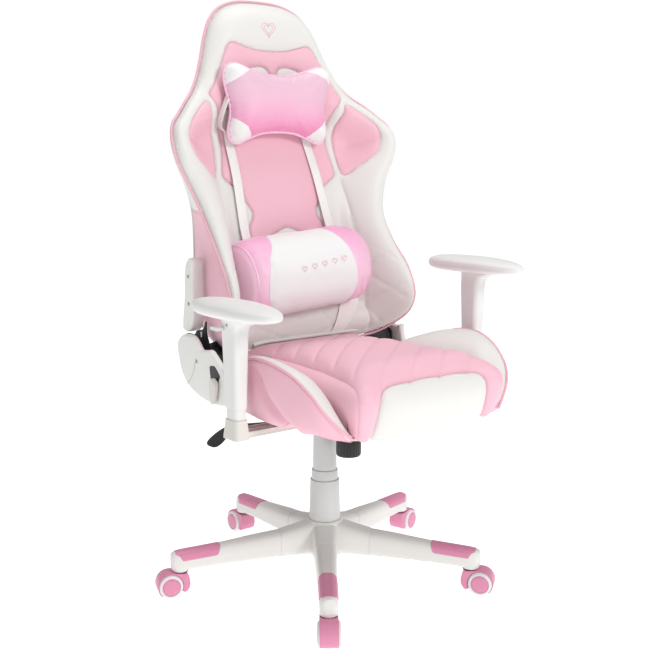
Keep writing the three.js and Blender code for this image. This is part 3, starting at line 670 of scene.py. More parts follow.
def front_surface(flat):
    """The backrest's front: flat in the middle, rising into padded wings at its edge."""
    away = distance_to(flat, edge_ring[:, :2])
    rise = smoothstep(1 - away / WING_REACH)
    steep = np.clip(1 - away / 0.045, 0, 1) ** 2
    forward = carried_in(flat, edge_ring)
    lean = np.where(forward > 0, forward * rise, forward * steep)
    z = flat[:, 1]
    share = np.clip(1 - away / 0.034, 0, 1)
    swell = np.sqrt(1 - share**2) * (1 - smoothstep((away - 0.030) / 0.075))
    wing = np.interp(z, PADDING_Z, PADDING)
    head = 0.010 * smoothstep((z - 1.02) / 0.06) * np.sqrt(1 - share**2)
    return off_back(flat, hollow(z) * (1 - rise) - lean - wing * swell - head)


def rear_surface(flat):
    """The backrest's rear: a shallow crown inside the rear rim."""
    rise = np.clip(distance_to(flat, rim_ring[:, :2]) / 0.09, 0, 1)
    return off_back(flat, carried_in(flat, rim_ring) + 0.010 * rise * (2 - rise))


CENTRE_PANEL = [
    (0.0, 1.128), (0.04, 1.13), (0.075, 1.138), (0.097, 1.143), (0.109, 1.137), (0.12, 1.119),
    (0.14, 1.083), (0.16, 1.05), (0.172, 1.032), (0.162, 1.018), (0.15, 1.0), (0.142, 0.975),
    (0.139, 0.918), (0.147, 0.862), (0.128, 0.846), (0.107, 0.832), (0.103, 0.818),
    (0.094, 0.802), (0.085, 0.787), (0.088, 0.77), (0.097, 0.757), (0.1, 0.735), (0.099, 0.7),
    (0.072, 0.7), (0.055, 0.712), (0.045, 0.733), (0.024, 0.744), (0.006, 0.751), (0.0, 0.752),
]
SHOULDER_PANEL = [
    (0.181, 1.018), (0.214, 0.998), (0.24, 0.972), (0.249, 0.945), (0.237, 0.912), (0.205, 0.886),
    (0.169, 0.862), (0.16, 0.905), (0.161, 0.965), (0.171, 0.995),
]
MIDDLE_SEAM = [
    (0.16, 0.852), (0.163, 0.8), (0.165, 0.75), (0.168, 0.68), (0.172, 0.6), (0.178, 0.52),
]


EARS = [
    (0.0, 1.062), (0.006, 1.07), (0.013, 1.086), (0.026, 1.094), (0.046, 1.093), (0.064, 1.088),
    (0.078, 1.08), (0.086, 1.066), (0.086, 1.0), (0.07, 0.985), (0.0, 0.985),
]


def quilted(flat):
    """Wide diamonds sewn into the lower part of the back and its wings."""
    x, z = np.abs(flat[:, 0]), flat[:, 1]
    away = distance_to(flat, edge_ring[:, :2])
    across = x + np.clip(WING_REACH - away, 0, None) * 0.75
    pitch, slope = 0.078, 0.62
    first = (z + slope * across) / pitch + 0.15
    second = (z - slope * across) / pitch + 0.15
    length = pitch / math.sqrt(1 + slope * slope)
    gap_one = np.abs(first - np.round(first)) * length
    gap_two = np.abs(second - np.round(second)) * length
    painted_shadow = np.minimum(gap_one, gap_two)
    fade = np.clip((0.705 - z) / 0.02, 0, 1) * np.clip((away - 0.012) / 0.008, 0, 1)
    puff = 0.0016 * (1 - np.exp(-painted_shadow / 0.010)) - 0.0014 * np.exp(-((painted_shadow / 0.0015) ** 2))
    return puff * fade


def piece_from(field, name):
    """One region of a sewn cover, as a closed body."""
    points, normals, triangles, chosen = field
    region, faces, used = only(points, triangles, chosen[name])
    return sheet_with_back(region, faces, -normals[used] * COVER_THICK)


def outward_from(ring):
    """The direction away from the back's middle, in x and z, at each point of a ring."""
    ahead = np.roll(ring[:, :2], -1, axis=0) - np.roll(ring[:, :2], 1, axis=0)
    out = np.column_stack([ahead[:, 1], -ahead[:, 0]])
    return out / np.linalg.norm(out, axis=1)[:, None]


def backrest():
    centre = smooth(both_sides(CENTRE_PANEL[::-1]), 0.004, closed=True)
    shoulder = smooth(SHOULDER_PANEL, 0.004, closed=True)
    other_shoulder = mirrored(shoulder)
    seam = smooth(MIDDLE_SEAM, 0.004)
    ears = smooth(both_sides(EARS[::-1]), 0.004, closed=True)
    seams = [(centre, True), (shoulder, True), (other_shoulder, True), (ears, True)]
    seams += [(seam, False), (mirrored(seam), False)]
    regions = [("ears", ears), ("centre", centre), ("left", shoulder), ("right", other_shoulder)]
    field = sewn(
        edge_ring[:, :2], seams, regions, front_surface, 0.0042, 0.0035, 0.012, INSIDE_BACK, quilted
    )
    cover = cushion("back_cover_white", piece_from(field, "rest"), "white_leather", "backrest")
    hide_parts("back_cushion")
    for name, _ in regions:
        material = "white_leather" if name == "ears" else "pink_leather"
        cushion(f"back_panel_{name}", piece_from(field, name), material, "backrest")
    back_sides()
    back_rear()
    hem = np.column_stack([np.linspace(*HEM_ENDS, 50), np.full(50, HEM_Y), np.full(50, HEM_Z)])
    hem[:, 2] -= 0.004 * smoothstep((np.abs(hem[:, 0] - 0.03) - 0.12) / 0.05)
    make("back_hem", tube(hem, 0.0042, 12), "white_leather", "backrest")
    proud = edge_ring[:, :2] + outward_from(edge_ring) * 0.0022
    piping = off_back(proud, -edge_ring[:, 2])
    make("back_piping", tube(piping, PIPING_R, 10, closed=True), "pink_piping", "backrest")
    rear = off_back(rim_ring, rim_ring[:, 2] - 0.001)
    make("back_rear_piping", tube(rear, 0.0022, 10, closed=True), "white_leather", "backrest")


SIDE_SEAM_Z = 0.797  # pink below, white above
SIDE_STATIONS = 15
SIDE_BULGE = 0.005


def back_sides():
    """The strip round the backrest from its front edge to its rear rim."""
    front = off_back(edge_ring, -edge_ring[:, 2])
    rear = off_back(rim_ring, rim_ring[:, 2])
    outward = np.insert(outward_from(edge_ring), 1, 0, axis=1)
    rows = []
    for share in np.linspace(0, 1, SIDE_STATIONS):
        bulge = SIDE_BULGE * math.sin(math.pi * share) ** 0.8
        dip = 0.003 * math.exp(-((min(share, 1 - share) / 0.05) ** 2))
        rows.append(front * (1 - share) + rear * share + outward * (bulge - dip))
    rows = np.array(rows)
    upper = front[:, 2] > SIDE_SEAM_Z
    count = len(front)
    parts = (("upper", upper, "white_leather"), ("lower", ~upper, "pink_leather"))
    for name, wanted, material in parts:
        start = next(i for i in range(count) if wanted[i] and not wanted[i - 1])
        run = [i % count for i in range(start, start + int(wanted.sum()) + 1)]
        along = np.minimum(np.arange(len(run)), np.arange(len(run))[::-1])
        tuck = 0.002 * np.exp(-((along / 0.7) ** 2))
        strip = rows[:, run, :] - outward[run] * tuck[None, :, None]
        points, faces = loft(list(strip), loop=False, caps=False)
        inward = -np.tile(outward[run], (SIDE_STATIONS, 1)) * COVER_THICK
        shape = sheet_with_back(points, faces, inward)
        cushion(f"back_side_{name}", shape, material, "backrest")
    for j in (i for i in range(count) if upper[i] != upper[i - 1]):
        line = respaced(rows[:, j] - outward[j] * 0.0015, 0.006)
        make(f"back_side_seam_{j}", tube(line, 0.0012, 6), "white_leather", "backrest")


def back_rear():
    """The rear cover: white above a seam, pink below it."""
    loop = rim_ring[:, :2]
    seam = smooth([(-0.21, 0.800), (-0.1, 0.772), (0.0, 0.760), (0.1, 0.772), (0.21, 0.800)], 0.004)
    seam = seam[inside(seam, loop)]
    lower = np.vstack([seam, [(0.4, 0.8), (0.4, 0.4), (-0.4, 0.4), (-0.4, 0.8)]])
    field = sewn(
        loop, [(seam, False)], [("lower", lower)], rear_surface, 0.006, 0.004, 0.02, INSIDE_BACK
    )
    cushion("back_rear_upper", piece_from(field, "rest"), "white_leather", "backrest")
    cushion("back_rear_lower", piece_from(field, "lower"), "pink_leather", "backrest")


backrest()


# ---------------------------------------------------------------- grids of points
def stretched(rows, count_along, count_across):
    """A finer grid through a few rows of control points. All rows have equally many points."""
    rows = np.asarray(rows, float)
    across = [resampled(rows[:, k], count_across) for k in range(rows.shape[1])]
    across = np.array(across)  # station, across, xyz
    fine = [resampled(across[:, i], count_along) for i in range(count_across)]
    return np.array(fine)  # across, along, xyz


def resampled(points, count):
    """A smooth curve's points at evenly spaced shares of its control points."""
    p = np.asarray(points, float)
    padded = np.vstack([2 * p[0] - p[1], p, 2 * p[-1] - p[-2]])
    place = np.linspace(0, len(p) - 1, count)
    k = np.minimum(place.astype(int), len(p) - 2)
    t = (place - k)[:, None]
    a, b, c, d = padded[k], padded[k + 1], padded[k + 2], padded[k + 3]
    return 0.5 * (
        2 * b + (c - a) * t + (2 * a - 5 * b + 4 * c - d) * t * t
        + (3 * b - a - 3 * c + d) * t * t * t
    )


def relieved(points, faces, centre, thick, wave):
    """A closed body from a surface of quads round a centre, with a relief over it."""
    triangles = [t for f in faces for t in ((f[0], f[1], f[2]), (f[0], f[2], f[3]))]
    normals = vertex_normals(points, triangles)
    if np.mean((points - centre) * normals) < 0:
        normals = -normals
        faces = [tuple(reversed(f)) for f in faces]
    return sheet_with_back(points + normals * wave.reshape(-1, 1), faces, -normals * thick)


def grid_body(grid, thick, centre, wave):
    """A closed body from a grid of points (across, along, xyz), thick behind its outer side."""
    points, faces = loft(list(grid), loop=False, caps=False)
    return relieved(points, faces, centre, thick, wave)


def seam_tuck(rows, columns, sides, depth=0.003, reach=0.006, spacing=0.006):
    """How far a grid dips towards the seams on its sides: any of low, high, start, end."""
    i = np.arange(rows)[:, None] * spacing
    j = np.arange(columns)[None, :] * spacing
    dip = np.zeros((rows, columns))
    if "low" in sides:
        dip = np.maximum(dip, np.exp(-((i / reach) ** 2)) + 0 * j)
    if "high" in sides:
        dip = np.maximum(dip, np.exp(-(((i[-1] - i) / reach) ** 2)) + 0 * j)
    if "start" in sides:
        dip = np.maximum(dip, np.exp(-((j / reach) ** 2)) + 0 * i)
    if "end" in sides:
        dip = np.maximum(dip, np.exp(-(((j[0, -1] - j) / reach) ** 2)) + 0 * i)
    return -depth * dip


rng = np.random.default_rng(7)
WAVES = [(rng.normal(size=3), rng.uniform(0, 2 * math.pi)) for _ in range(24)]


def unevenness(points, size):
    """Soft random relief, about 1 high at most, with bumps of about a size."""
    total = np.zeros(points.shape[:-1])
    for direction, phase in WAVES:
        total += np.sin(points @ direction * (2.2 / size) + phase)
    return total / math.sqrt(len(WAVES)) / 1.6


# ---------------------------------------------------------------- seat
# The seat's middle, from its front's foot over the top to its rear: y, z, half width at the
# seam, then the seam's foot in the crease beside the bolster: x, y, z.
SEAT_STATIONS = [
    (-0.296, 0.401, 0.155, 0.148, -0.288, 0.4035), (-0.318, 0.4015, 0.168, 0.162, -0.294, 0.404),
    (-0.327, 0.411, 0.174, 0.173, -0.298, 0.411), (-0.334, 0.429, 0.179, 0.177, -0.3, 0.422),
    (-0.3415, 0.46, 0.183, 0.182, -0.299, 0.44), (-0.34, 0.482, 0.182, 0.184, -0.29, 0.452),
    (-0.325, 0.4955, 0.177, 0.185, -0.276, 0.46), (-0.293, 0.501, 0.166, 0.183, -0.254, 0.464),
    (-0.243, 0.502, 0.153, 0.18, -0.222, 0.466), (-0.18, 0.5025, 0.143, 0.175, -0.175, 0.468),
    (-0.12, 0.5025, 0.138, 0.17, -0.12, 0.472), (-0.05, 0.503, 0.136, 0.165, -0.05, 0.476),
    (0.02, 0.503, 0.14, 0.162, 0.02, 0.478), (0.06, 0.503, 0.148, 0.161, 0.056, 0.478),
    (0.074, 0.498, 0.153, 0.161, 0.066, 0.474), (0.08, 0.485, 0.158, 0.16, 0.07, 0.466),
    (0.08, 0.44, 0.16, 0.16, 0.072, 0.436), (0.074, 0.402, 0.16, 0.16, 0.066, 0.404),
]
CHANNEL_PITCH = 0.0490
CHANNEL_SLOPE = 0.88
CHANNEL_START = 0.045
SEAT_CROWN = 0.017
DUST_COVER = [(0.16, 0.068), (0.164, 0.05), (0.160, -0.27), (0.155, -0.288)]  # right half

seat_stations = np.array(SEAT_STATIONS)
seat_curve = smooth(seat_stations, 0.003)
seat_profile = seat_curve[:, :2]
seat_along = np.concatenate([[0], np.cumsum(np.linalg.norm(np.diff(seat_profile, axis=0), axis=1))])


def along_seat(y, z):
    """Distance along the seat's profile to the point nearest to (y, z)."""
    return seat_along[np.argmin((seat_profile[:, 0] - y) ** 2 + (seat_profile[:, 1] - z) ** 2)]


def seat_surface(flat):
    """(x, distance along the profile) on the seat's middle."""
    y = np.interp(flat[:, 1], seat_along, seat_profile[:, 0])
    z = np.interp(flat[:, 1], seat_along, seat_profile[:, 1])
    return np.column_stack([flat[:, 0], y, z])


def channels(flat):
    """The seat's crown, and the diagonal lines of stitching across its top."""
    x, s = flat[:, 0], flat[:, 1]
    edge = along_seat(-0.329, 0.494)
    start = edge + 0.012
    y = np.interp(s, seat_along, seat_profile[:, 0])
    y = np.where(s < start, s - start + np.interp(start, seat_along, seat_profile[:, 0]), y)
    spacing = CHANNEL_PITCH * math.sqrt(1 + CHANNEL_SLOPE**2)
    row = (y - CHANNEL_START - CHANNEL_SLOPE * x) / spacing
    painted_shadow = np.abs(row - np.round(row)) * CHANNEL_PITCH
    inset = np.interp(s, seat_along, seat_curve[:, 2]) - np.abs(x)
    fade = np.clip((s - edge + 0.010) / 0.012, 0, 1) * np.clip((inset - 0.004) / 0.010, 0, 1)
    fade = fade * np.clip((0.062 - y) / 0.02, 0, 1)
    crown = SEAT_CROWN * (1 - np.exp(-np.clip(inset, 0, None) / 0.030))
    crown = crown * smoothstep((s - edge) / 0.06) * smoothstep((0.075 - y) / 0.20)
    puff = 0.0030 * (1 - np.exp(-painted_shadow / 0.010)) - 0.0024 * np.exp(-((painted_shadow / 0.0020) ** 2))
    return crown + fade * puff


def seat_middle():
    half = np.column_stack([seat_curve[:, 2], seat_along])[::2]
    outline = np.vstack([half, half[::-1] * [-1, 1]])
    outline = respaced(np.vstack([outline, outline[:1]]), 0.004, closed=True)
    top, shoulder, low = along_seat(-0.330, 0.494), along_seat(-0.342, 0.465), 0.0012
    patch_half = [
        (0.141, low), (0.1395, (low + shoulder) / 2), (0.136, shoulder),
        (0.132, shoulder + 0.014), (0.122, top - 0.006), (0.104, top + 0.001),
        (0.06, top + 0.0045),
    ]
    patch = np.vstack([patch_half, [(0, top + 0.006)], np.array(patch_half)[::-1] * [-1, 1]])
    line = smooth(patch, 0.003)
    line = line[line[:, 1] > 0.0014]
    closed_patch = np.vstack([line, [(-0.141, -0.02), (0.141, -0.02)]])
    field = sewn(
        outline, [(line, False)], [("patch", closed_patch)], seat_surface, 0.0042, 0.0125, 0.021,
        (0, -0.05, 0.45), channels,
    )
    top_cover = cushion("seat_cover_top", piece_from(field, "rest"), "pink_leather", "seat")
    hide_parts("seat_cushion")
    cushion("seat_cover_front_patch", piece_from(field, "patch"), "white_leather", "seat")
    for side in (1, -1):
        seat_wall(side)
    foot = smooth(np.vstack([DUST_COVER, mirrored(DUST_COVER)]), 0.01, closed=True)
    make("seat_dust_cover", plate(foot, 0.4008, 0.4028, 0.0005, upright), "black_plastic", "seat")


def seat_wall(side):
    """The middle's side wall, from its top seam down into the crease."""
    top = np.column_stack([seat_curve[:, 2], seat_curve[:, 0], seat_curve[:, 1]])
    foot = seat_curve[:, 3:]
    rows = []
    for share in np.linspace(0, 1, 9):
        swell = 0.007 * math.sin(math.pi * share)
        row = top * (1 - share) + foot * share
        rows.append(row + [swell, 0, swell * 0.6])
    deeper = foot.copy()
    deeper[:, 2] = np.maximum(foot[:, 2] - 0.030, 0.4036)
    rows.append(deeper)
    grid = np.array(rows)[:, ::2] * [side, 1, 1]
    tuck = seam_tuck(grid.shape[0], grid.shape[1], ("low",), 0.0025, 0.004, 0.005)
    body = grid_body(grid, 0.004, (0, -0.1, 0.44), tuck + 0.0006 * unevenness(grid, 0.03))
    cushion(f"seat_cover_wall_{SIDE_NAMES[side]}", body, "pink_leather", "seat")


# Bolster rows, right half, from the front's tip to the rear: x, y, z.
CREST = [
    (0.188, -0.325, 0.41), (0.204, -0.319, 0.425), (0.224, -0.31, 0.447), (0.237, -0.3, 0.466),
    (0.245, -0.287, 0.485), (0.251, -0.269, 0.501), (0.257, -0.245, 0.517),
    (0.264, -0.215, 0.529), (0.269, -0.18, 0.5365), (0.27, -0.135, 0.536), (0.267, -0.09, 0.525),
    (0.258, -0.04, 0.506), (0.24, 0.0, 0.486), (0.224, 0.025, 0.476),
]
CREASE = [
    (0.177, -0.316, 0.406), (0.178, -0.306, 0.413), (0.179, -0.295, 0.422), (0.18, -0.282, 0.433),
    (0.181, -0.269, 0.443), (0.182, -0.254, 0.452), (0.182, -0.233, 0.458),
    (0.181, -0.206, 0.461), (0.177, -0.171, 0.464), (0.172, -0.126, 0.467),
    (0.168, -0.081, 0.469), (0.165, -0.036, 0.47), (0.163, 0.0, 0.469), (0.161, 0.025, 0.468),
]
UNDERSIDE = [
    (0.182, -0.318, 0.403), (0.195, -0.312, 0.4045), (0.213, -0.303, 0.407),
    (0.224, -0.293, 0.41), (0.232, -0.279, 0.413), (0.238, -0.262, 0.4145),
    (0.245, -0.239, 0.415), (0.252, -0.21, 0.4155), (0.258, -0.176, 0.417), (0.26, -0.133, 0.419),
    (0.255, -0.09, 0.419), (0.244, -0.04, 0.418), (0.236, 0.0, 0.417), (0.222, 0.025, 0.416),
]


def bolster(side):
    name = SIDE_NAMES[side]
    crest, crease, under = (np.array(rows) for rows in (CREST, CREASE, UNDERSIDE))
    size = np.clip((crest[:, 2] - under[:, 2]) / 0.1, 0.08, 1)[:, None]
    inner_rows = [
        np.maximum(crease + [-0.016, 0.002, -0.022], [0, -1, 0.4034]),
        crease,
        crease * 0.62 + crest * 0.38 + size * [-0.003, 0, 0.021],
        crease * 0.28 + crest * 0.72 + size * [-0.001, 0, 0.0185],
        crease * 0.08 + crest * 0.92 + size * [0.0, 0, 0.0075],
        crest,
    ]
    outer_rows = [
        crest,
        crest * 0.88 + under * 0.12 + size * [0.0070, 0, 0.0030],
        crest * 0.55 + under * 0.45 + size * [0.0125, 0, 0],
        crest * 0.22 + under * 0.78 + size * [0.0100, 0, 0],
        under + size * [0.001, 0, 0.003],
        under + size * [-0.012, 0, -0.0015],
        np.column_stack([np.full(len(under), 0.168), under[:, 1], np.full(len(under), 0.4035)]),
    ]
    centre = np.array([side * 0.215, -0.13, 0.46])

    def soft(rows):
        grid = stretched(rows, 96, 8 * (len(rows) - 1))
        return grid * [side, 1, 1]

    def dent(grid):
        """The fold down the bolster's side, with a low swell ahead of it."""
        y, z = grid[..., 1], grid[..., 2]
        fold = np.interp(z, [0.42, 0.48, 0.517, 0.55], [-0.223, -0.172, -0.150, -0.14])
        depth = 0.0135 * np.exp(-(((y - fold) / 0.013) ** 2))
        ahead = -0.0030 * np.exp(-(((y - fold + 0.030) / 0.018) ** 2))
        return -(depth + ahead) * np.clip((0.53 - z) / 0.025, 0, 1)

    white = soft(inner_rows)
    wave = seam_tuck(*white.shape[:2], ("high",), 0.0022, 0.004, 0.003)
    wave = wave + 0.0008 * unevenness(white, 0.045)
    shape = grid_body(white, 0.004, centre, wave)
    cushion(f"seat_bolster_inner_{name}", shape, "white_leather", "seat")
    pink = soft(outer_rows)
    wave = seam_tuck(*pink.shape[:2], ("low",), 0.0022, 0.004, 0.003)
    wave = wave + dent(pink) + 0.0009 * unevenness(pink, 0.05)
    shape = grid_body(pink, 0.004, centre, wave)
    outer = cushion(f"seat_bolster_outer_{name}", shape, "pink_leather", "seat")
    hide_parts(f"seat_bolster_{name}")
    line = smooth(crest, 0.005) * [side, 1, 1]
    make(f"seat_bolster_piping_{name}", tube(line, 0.0028, 10), "pink_piping", "seat")
    rear = np.vstack([pink[:, -1], white[::-1, -1]])
    rear_ring = [rear, (rear - rear.mean(0)) * 0.5 + rear.mean(0) + [0, 0.006, 0]]
    make(f"seat_bolster_rear_{name}", loft(rear_ring), "pink_leather", "seat", SOFT_ANGLE)


def seat():
    seat_middle()
    for side in (1, -1):
        bolster(side)


# ---------------------------------------------------------------- pillows
BACK_TURN = math.atan(BACK_SLOPE)


def on_back(points):
    """(across, out behind the back's plane, up the back from BACK_Z) to the chair."""
    p = np.asarray(points, float)
    c, s = math.cos(BACK_TURN), math.sin(BACK_TURN)
    return np.stack([
        p[..., 0],
        BACK_Y + p[..., 1] * c + p[..., 2] * s,
        BACK_Z - p[..., 1] * s + p[..., 2] * c,
    ], axis=-1)


HEAD_OUTLINE = [
    (0.0, 0.204), (0.035, 0.2065), (0.062, 0.2125), (0.082, 0.2185), (0.104, 0.2255),
    (0.12, 0.224), (0.131, 0.2165), (0.1345, 0.205), (0.134, 0.192), (0.1295, 0.175),
    (0.1245, 0.158), (0.1205, 0.145), (0.119, 0.132), (0.121, 0.115), (0.1245, 0.1),
    (0.1255, 0.088), (0.122, 0.076), (0.113, 0.0685), (0.101, 0.067), (0.085, 0.0735),
    (0.066, 0.0805), (0.045, 0.087), (0.022, 0.09), (0.0, 0.0905),
]
HEAD_SIDE = -0.012  # how far the pillow hangs to the sitter's right
HEAD_THICK = 0.070
HEAD_SHARES = {"front": -1.0, "rear": 0.60}  # how much of the swell each face has, + is behind
# The white corners, left side: a seam through the first five points, closed outside the pillow.
CORNER_CUTS = [
    [
        (0.06, 0.232), (0.072, 0.2175), (0.101, 0.2005), (0.132, 0.183), (0.145, 0.177),
        (0.16, 0.24),
    ],
    [
        (0.135, 0.125), (0.121, 0.117), (0.098, 0.0985), (0.071, 0.077), (0.06, 0.068),
        (0.16, 0.05),
    ],
]


def head_out(v):
    """How far out from the back's plane the pillow's middle layer hangs, by height up the back."""
    return -0.043 + 0.185 * (0.21 - v)


def heart(size, x, z):
    """A closed heart outline, about twice size across."""
    t = np.linspace(0, 2 * math.pi, 60, endpoint=False)
    high = (13 * np.cos(t) - 5 * np.cos(2 * t) - 2 * np.cos(3 * t) - np.cos(4 * t)) / 16
    points = np.column_stack([np.sin(t) ** 3, high]) * size + [x, z]
    return respaced(np.vstack([points, points[:1]]), size * 0.08, True)


def settled(points, faces, held, limit):
    """How the cloth over a closed body moves when it is blown up and settles.

    held is the points that the seams hold still, limit is the furthest that any point may move.
    The answer is a function from points to how far each one moves.
    """
    scene = bpy.context.scene
    mesh = bpy.data.meshes.new("settling")
    mesh.from_pydata([tuple(p) for p in points], [], [tuple(int(i) for i in f) for f in faces])
    body = bpy.data.objects.new("settling", mesh)
    scene.collection.objects.link(body)
    remesh = body.modifiers.new("remesh", "REMESH")
    remesh.mode = "VOXEL"
    remesh.voxel_size = 0.005
    remeshed = body.evaluated_get(bpy.context.evaluated_depsgraph_get())
    even = bpy.data.meshes.new_from_object(remeshed)
    body.modifiers.clear()
    body.data = even
    rest = np.array([v.co for v in even.vertices])
    pins = body.vertex_groups.new(name="seams")
    near_seams = np.nonzero(distance_to(rest, held) < 0.007)[0]
    pins.add([int(i) for i in near_seams], 1.0, "REPLACE")
    cloth = body.modifiers.new("cloth", "CLOTH")
    cloth.settings.quality = 4
    cloth.settings.use_pressure = True
    cloth.settings.uniform_pressure_force = 4
    cloth.settings.effector_weights.gravity = 0
    cloth.settings.vertex_group_mass = "seams"
    cloth.settings.shrink_min = -0.03
    for moment in range(1, 21):
        scene.frame_set(moment)
    blown = body.evaluated_get(bpy.context.evaluated_depsgraph_get()).to_mesh()
    moved = np.array([v.co for v in blown.vertices]) - rest
    bpy.data.objects.remove(body)
    bpy.data.meshes.remove(even)
    bpy.data.meshes.remove(mesh)
    scene.frame_set(1)
    far = np.linalg.norm(moved, axis=1)
    moved *= (limit * np.tanh(far / limit) / np.maximum(far, 1e-9))[:, None]
    tree = tree_of(rest)

    def movement(at):
        found = np.zeros_like(at)
        for i, point in enumerate(at):
            close = tree.find_n(point, 5)
            weights = np.array([1 / (painted_shadow + 0.001) for _, _, painted_shadow in close])
            found[i] = weights @ moved[[j for _, j, _ in close]] / weights.sum()
        return found

    return movement


def hung(flat, out=0.0):
    """(across, up) points of the head pillow, at a distance behind its middle layer."""
    return on_back(np.column_stack([flat[:, 0] + HEAD_SIDE, head_out(flat[:, 1]) + out, flat[:, 1]]))


def head_pillow():
    half = np.array(HEAD_OUTLINE)
    outline = smooth(np.vstack([half, half[::-1][1:-1] * [-1, 1]]), 0.004, closed=True)
    corners = {}
    for name, loop in zip(("top", "bottom"), CORNER_CUTS):
        corners[f"{name}_left"] = np.array(loop)
        corners[f"{name}_right"] = np.array(loop) * [-1, 1]
    lines = []
    for loop in corners.values():
        line = smooth(loop[:5], 0.003)
        lines.append((line[inside(line, outline)], False))
    flat, triangles = triangulated(outline, lines, 0.0042)
    away = distance_to(flat, respaced(np.vstack([outline, outline[:1]]), 0.0015))
    near = distance_to(flat, np.vstack([p for p, _ in lines]))
    share = 1 - np.clip(away / 0.056, 0, 1)
    swell = HEAD_THICK / 2 * np.sqrt(1 - share**2.1) - 0.0014 * np.exp(-((near / 0.003) ** 2))
    centres = flat[np.array(triangles)].mean(1)
    chosen = {name: inside(centres, loop) for name, loop in corners.items()}
    chosen["middle"] = ~np.any(list(chosen.values()), axis=0)
    folds = head_folds(flat, away)
    layers = [hung(flat, out * swell + math.copysign(0.0004, out)) for out in HEAD_SHARES.values()]
    whole = [*triangles, *[tuple(i + len(flat) for i in t[::-1]) for t in triangles]]
    rim = hung(outline)
    movement = settled(np.vstack(layers), whole, rim, CLOTH_LIMIT)
    for face, out in HEAD_SHARES.items():
        points = hung(flat, out * (swell + folds))
        points = points + movement(points) * smoothstep(away / 0.012)[:, None]
        normals = vertex_normals(points, triangles)
        if np.mean(normals[:, 1]) * out < 0:
            normals = -normals
        for name, mine in chosen.items():
            region, faces, used = only(points, triangles, mine)
            material = "head_satin" if name == "middle" else "white_satin"
            shape = sheet_with_back(region, faces, -normals[used] * 0.003)
            obj = cushion(f"head_pillow_{face}_{name}", shape, material, "head_pillow")
            if face == "front" and name == "middle":
                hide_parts("head_pillow")
    make("head_pillow_piping", tube(rim, 0.0036, 10, closed=True), "satin_piping", "head_pillow")


def head_folds(flat, away):
    """Short gathers running in from the pillow's edge seam, and a soft unevenness."""
    around = np.arctan2(flat[:, 1] - 0.147, flat[:, 0] * 0.6)
    gathers = np.sin(around * 23) + 0.7 * np.sin(around * 37 + 1.0) + 0.5 * np.sin(around * 61 + 2.2)
    fade = np.exp(-(((away - 0.014) / 0.012) ** 2))
    return 0.0007 * gathers * fade + 0.0010 * unevenness(np.column_stack([flat, away]), 0.03)


LUMBAR_UP = -0.2115
LUMBAR_TILT = math.radians(4)
LUMBAR_ENDS = (-0.160, 0.138)
LUMBAR_HEIGHT = 0.172
LUMBAR_DEPTH = 0.112
LUMBAR_SIDES = 96
# The seams beside the white band: turn round the section from its top, distance across.
BAND_LEFT = [
    (0.0, -0.08), (0.82, -0.104), (1.14, -0.122), (1.66, -0.135), (2.14, -0.135), (2.66, -0.116),
    (3.14, -0.1),
]
BAND_RIGHT = [
    (0.0, 0.045), (0.74, 0.066), (1.14, 0.078), (1.46, 0.084), (2.02, 0.09), (2.46, 0.088),
    (3.14, 0.08),
]


def lumbar_section(turn, x):
    """A point of the pillow's D-shaped section: turn runs from the top, over the front, 0 to 2 pi."""
    low, high = LUMBAR_ENDS
    near_end = np.minimum(x - low, high - x)
    shrink = 1 - 0.12 * np.exp(-near_end / 0.020)
    front = turn <= math.pi
    up = np.cos(turn) * LUMBAR_HEIGHT / 2 * shrink
    out_front = -0.016 - np.abs(np.sin(turn)) ** 0.8 * (LUMBAR_DEPTH - 0.012) * shrink
    out_rear = -0.016 + np.abs(np.sin(turn)) ** 0.5 * 0.010
    out = np.where(front, out_front, out_rear)
    return np.stack([x, out, up], axis=-1)


def lumbar_place(points):
    c, s = math.cos(LUMBAR_TILT), math.sin(LUMBAR_TILT)
    p = np.asarray(points)
    x = p[..., 0] * c - p[..., 2] * s
    up = p[..., 0] * s + p[..., 2] * c
    return on_back(np.stack([x, p[..., 1], up + LUMBAR_UP], axis=-1))


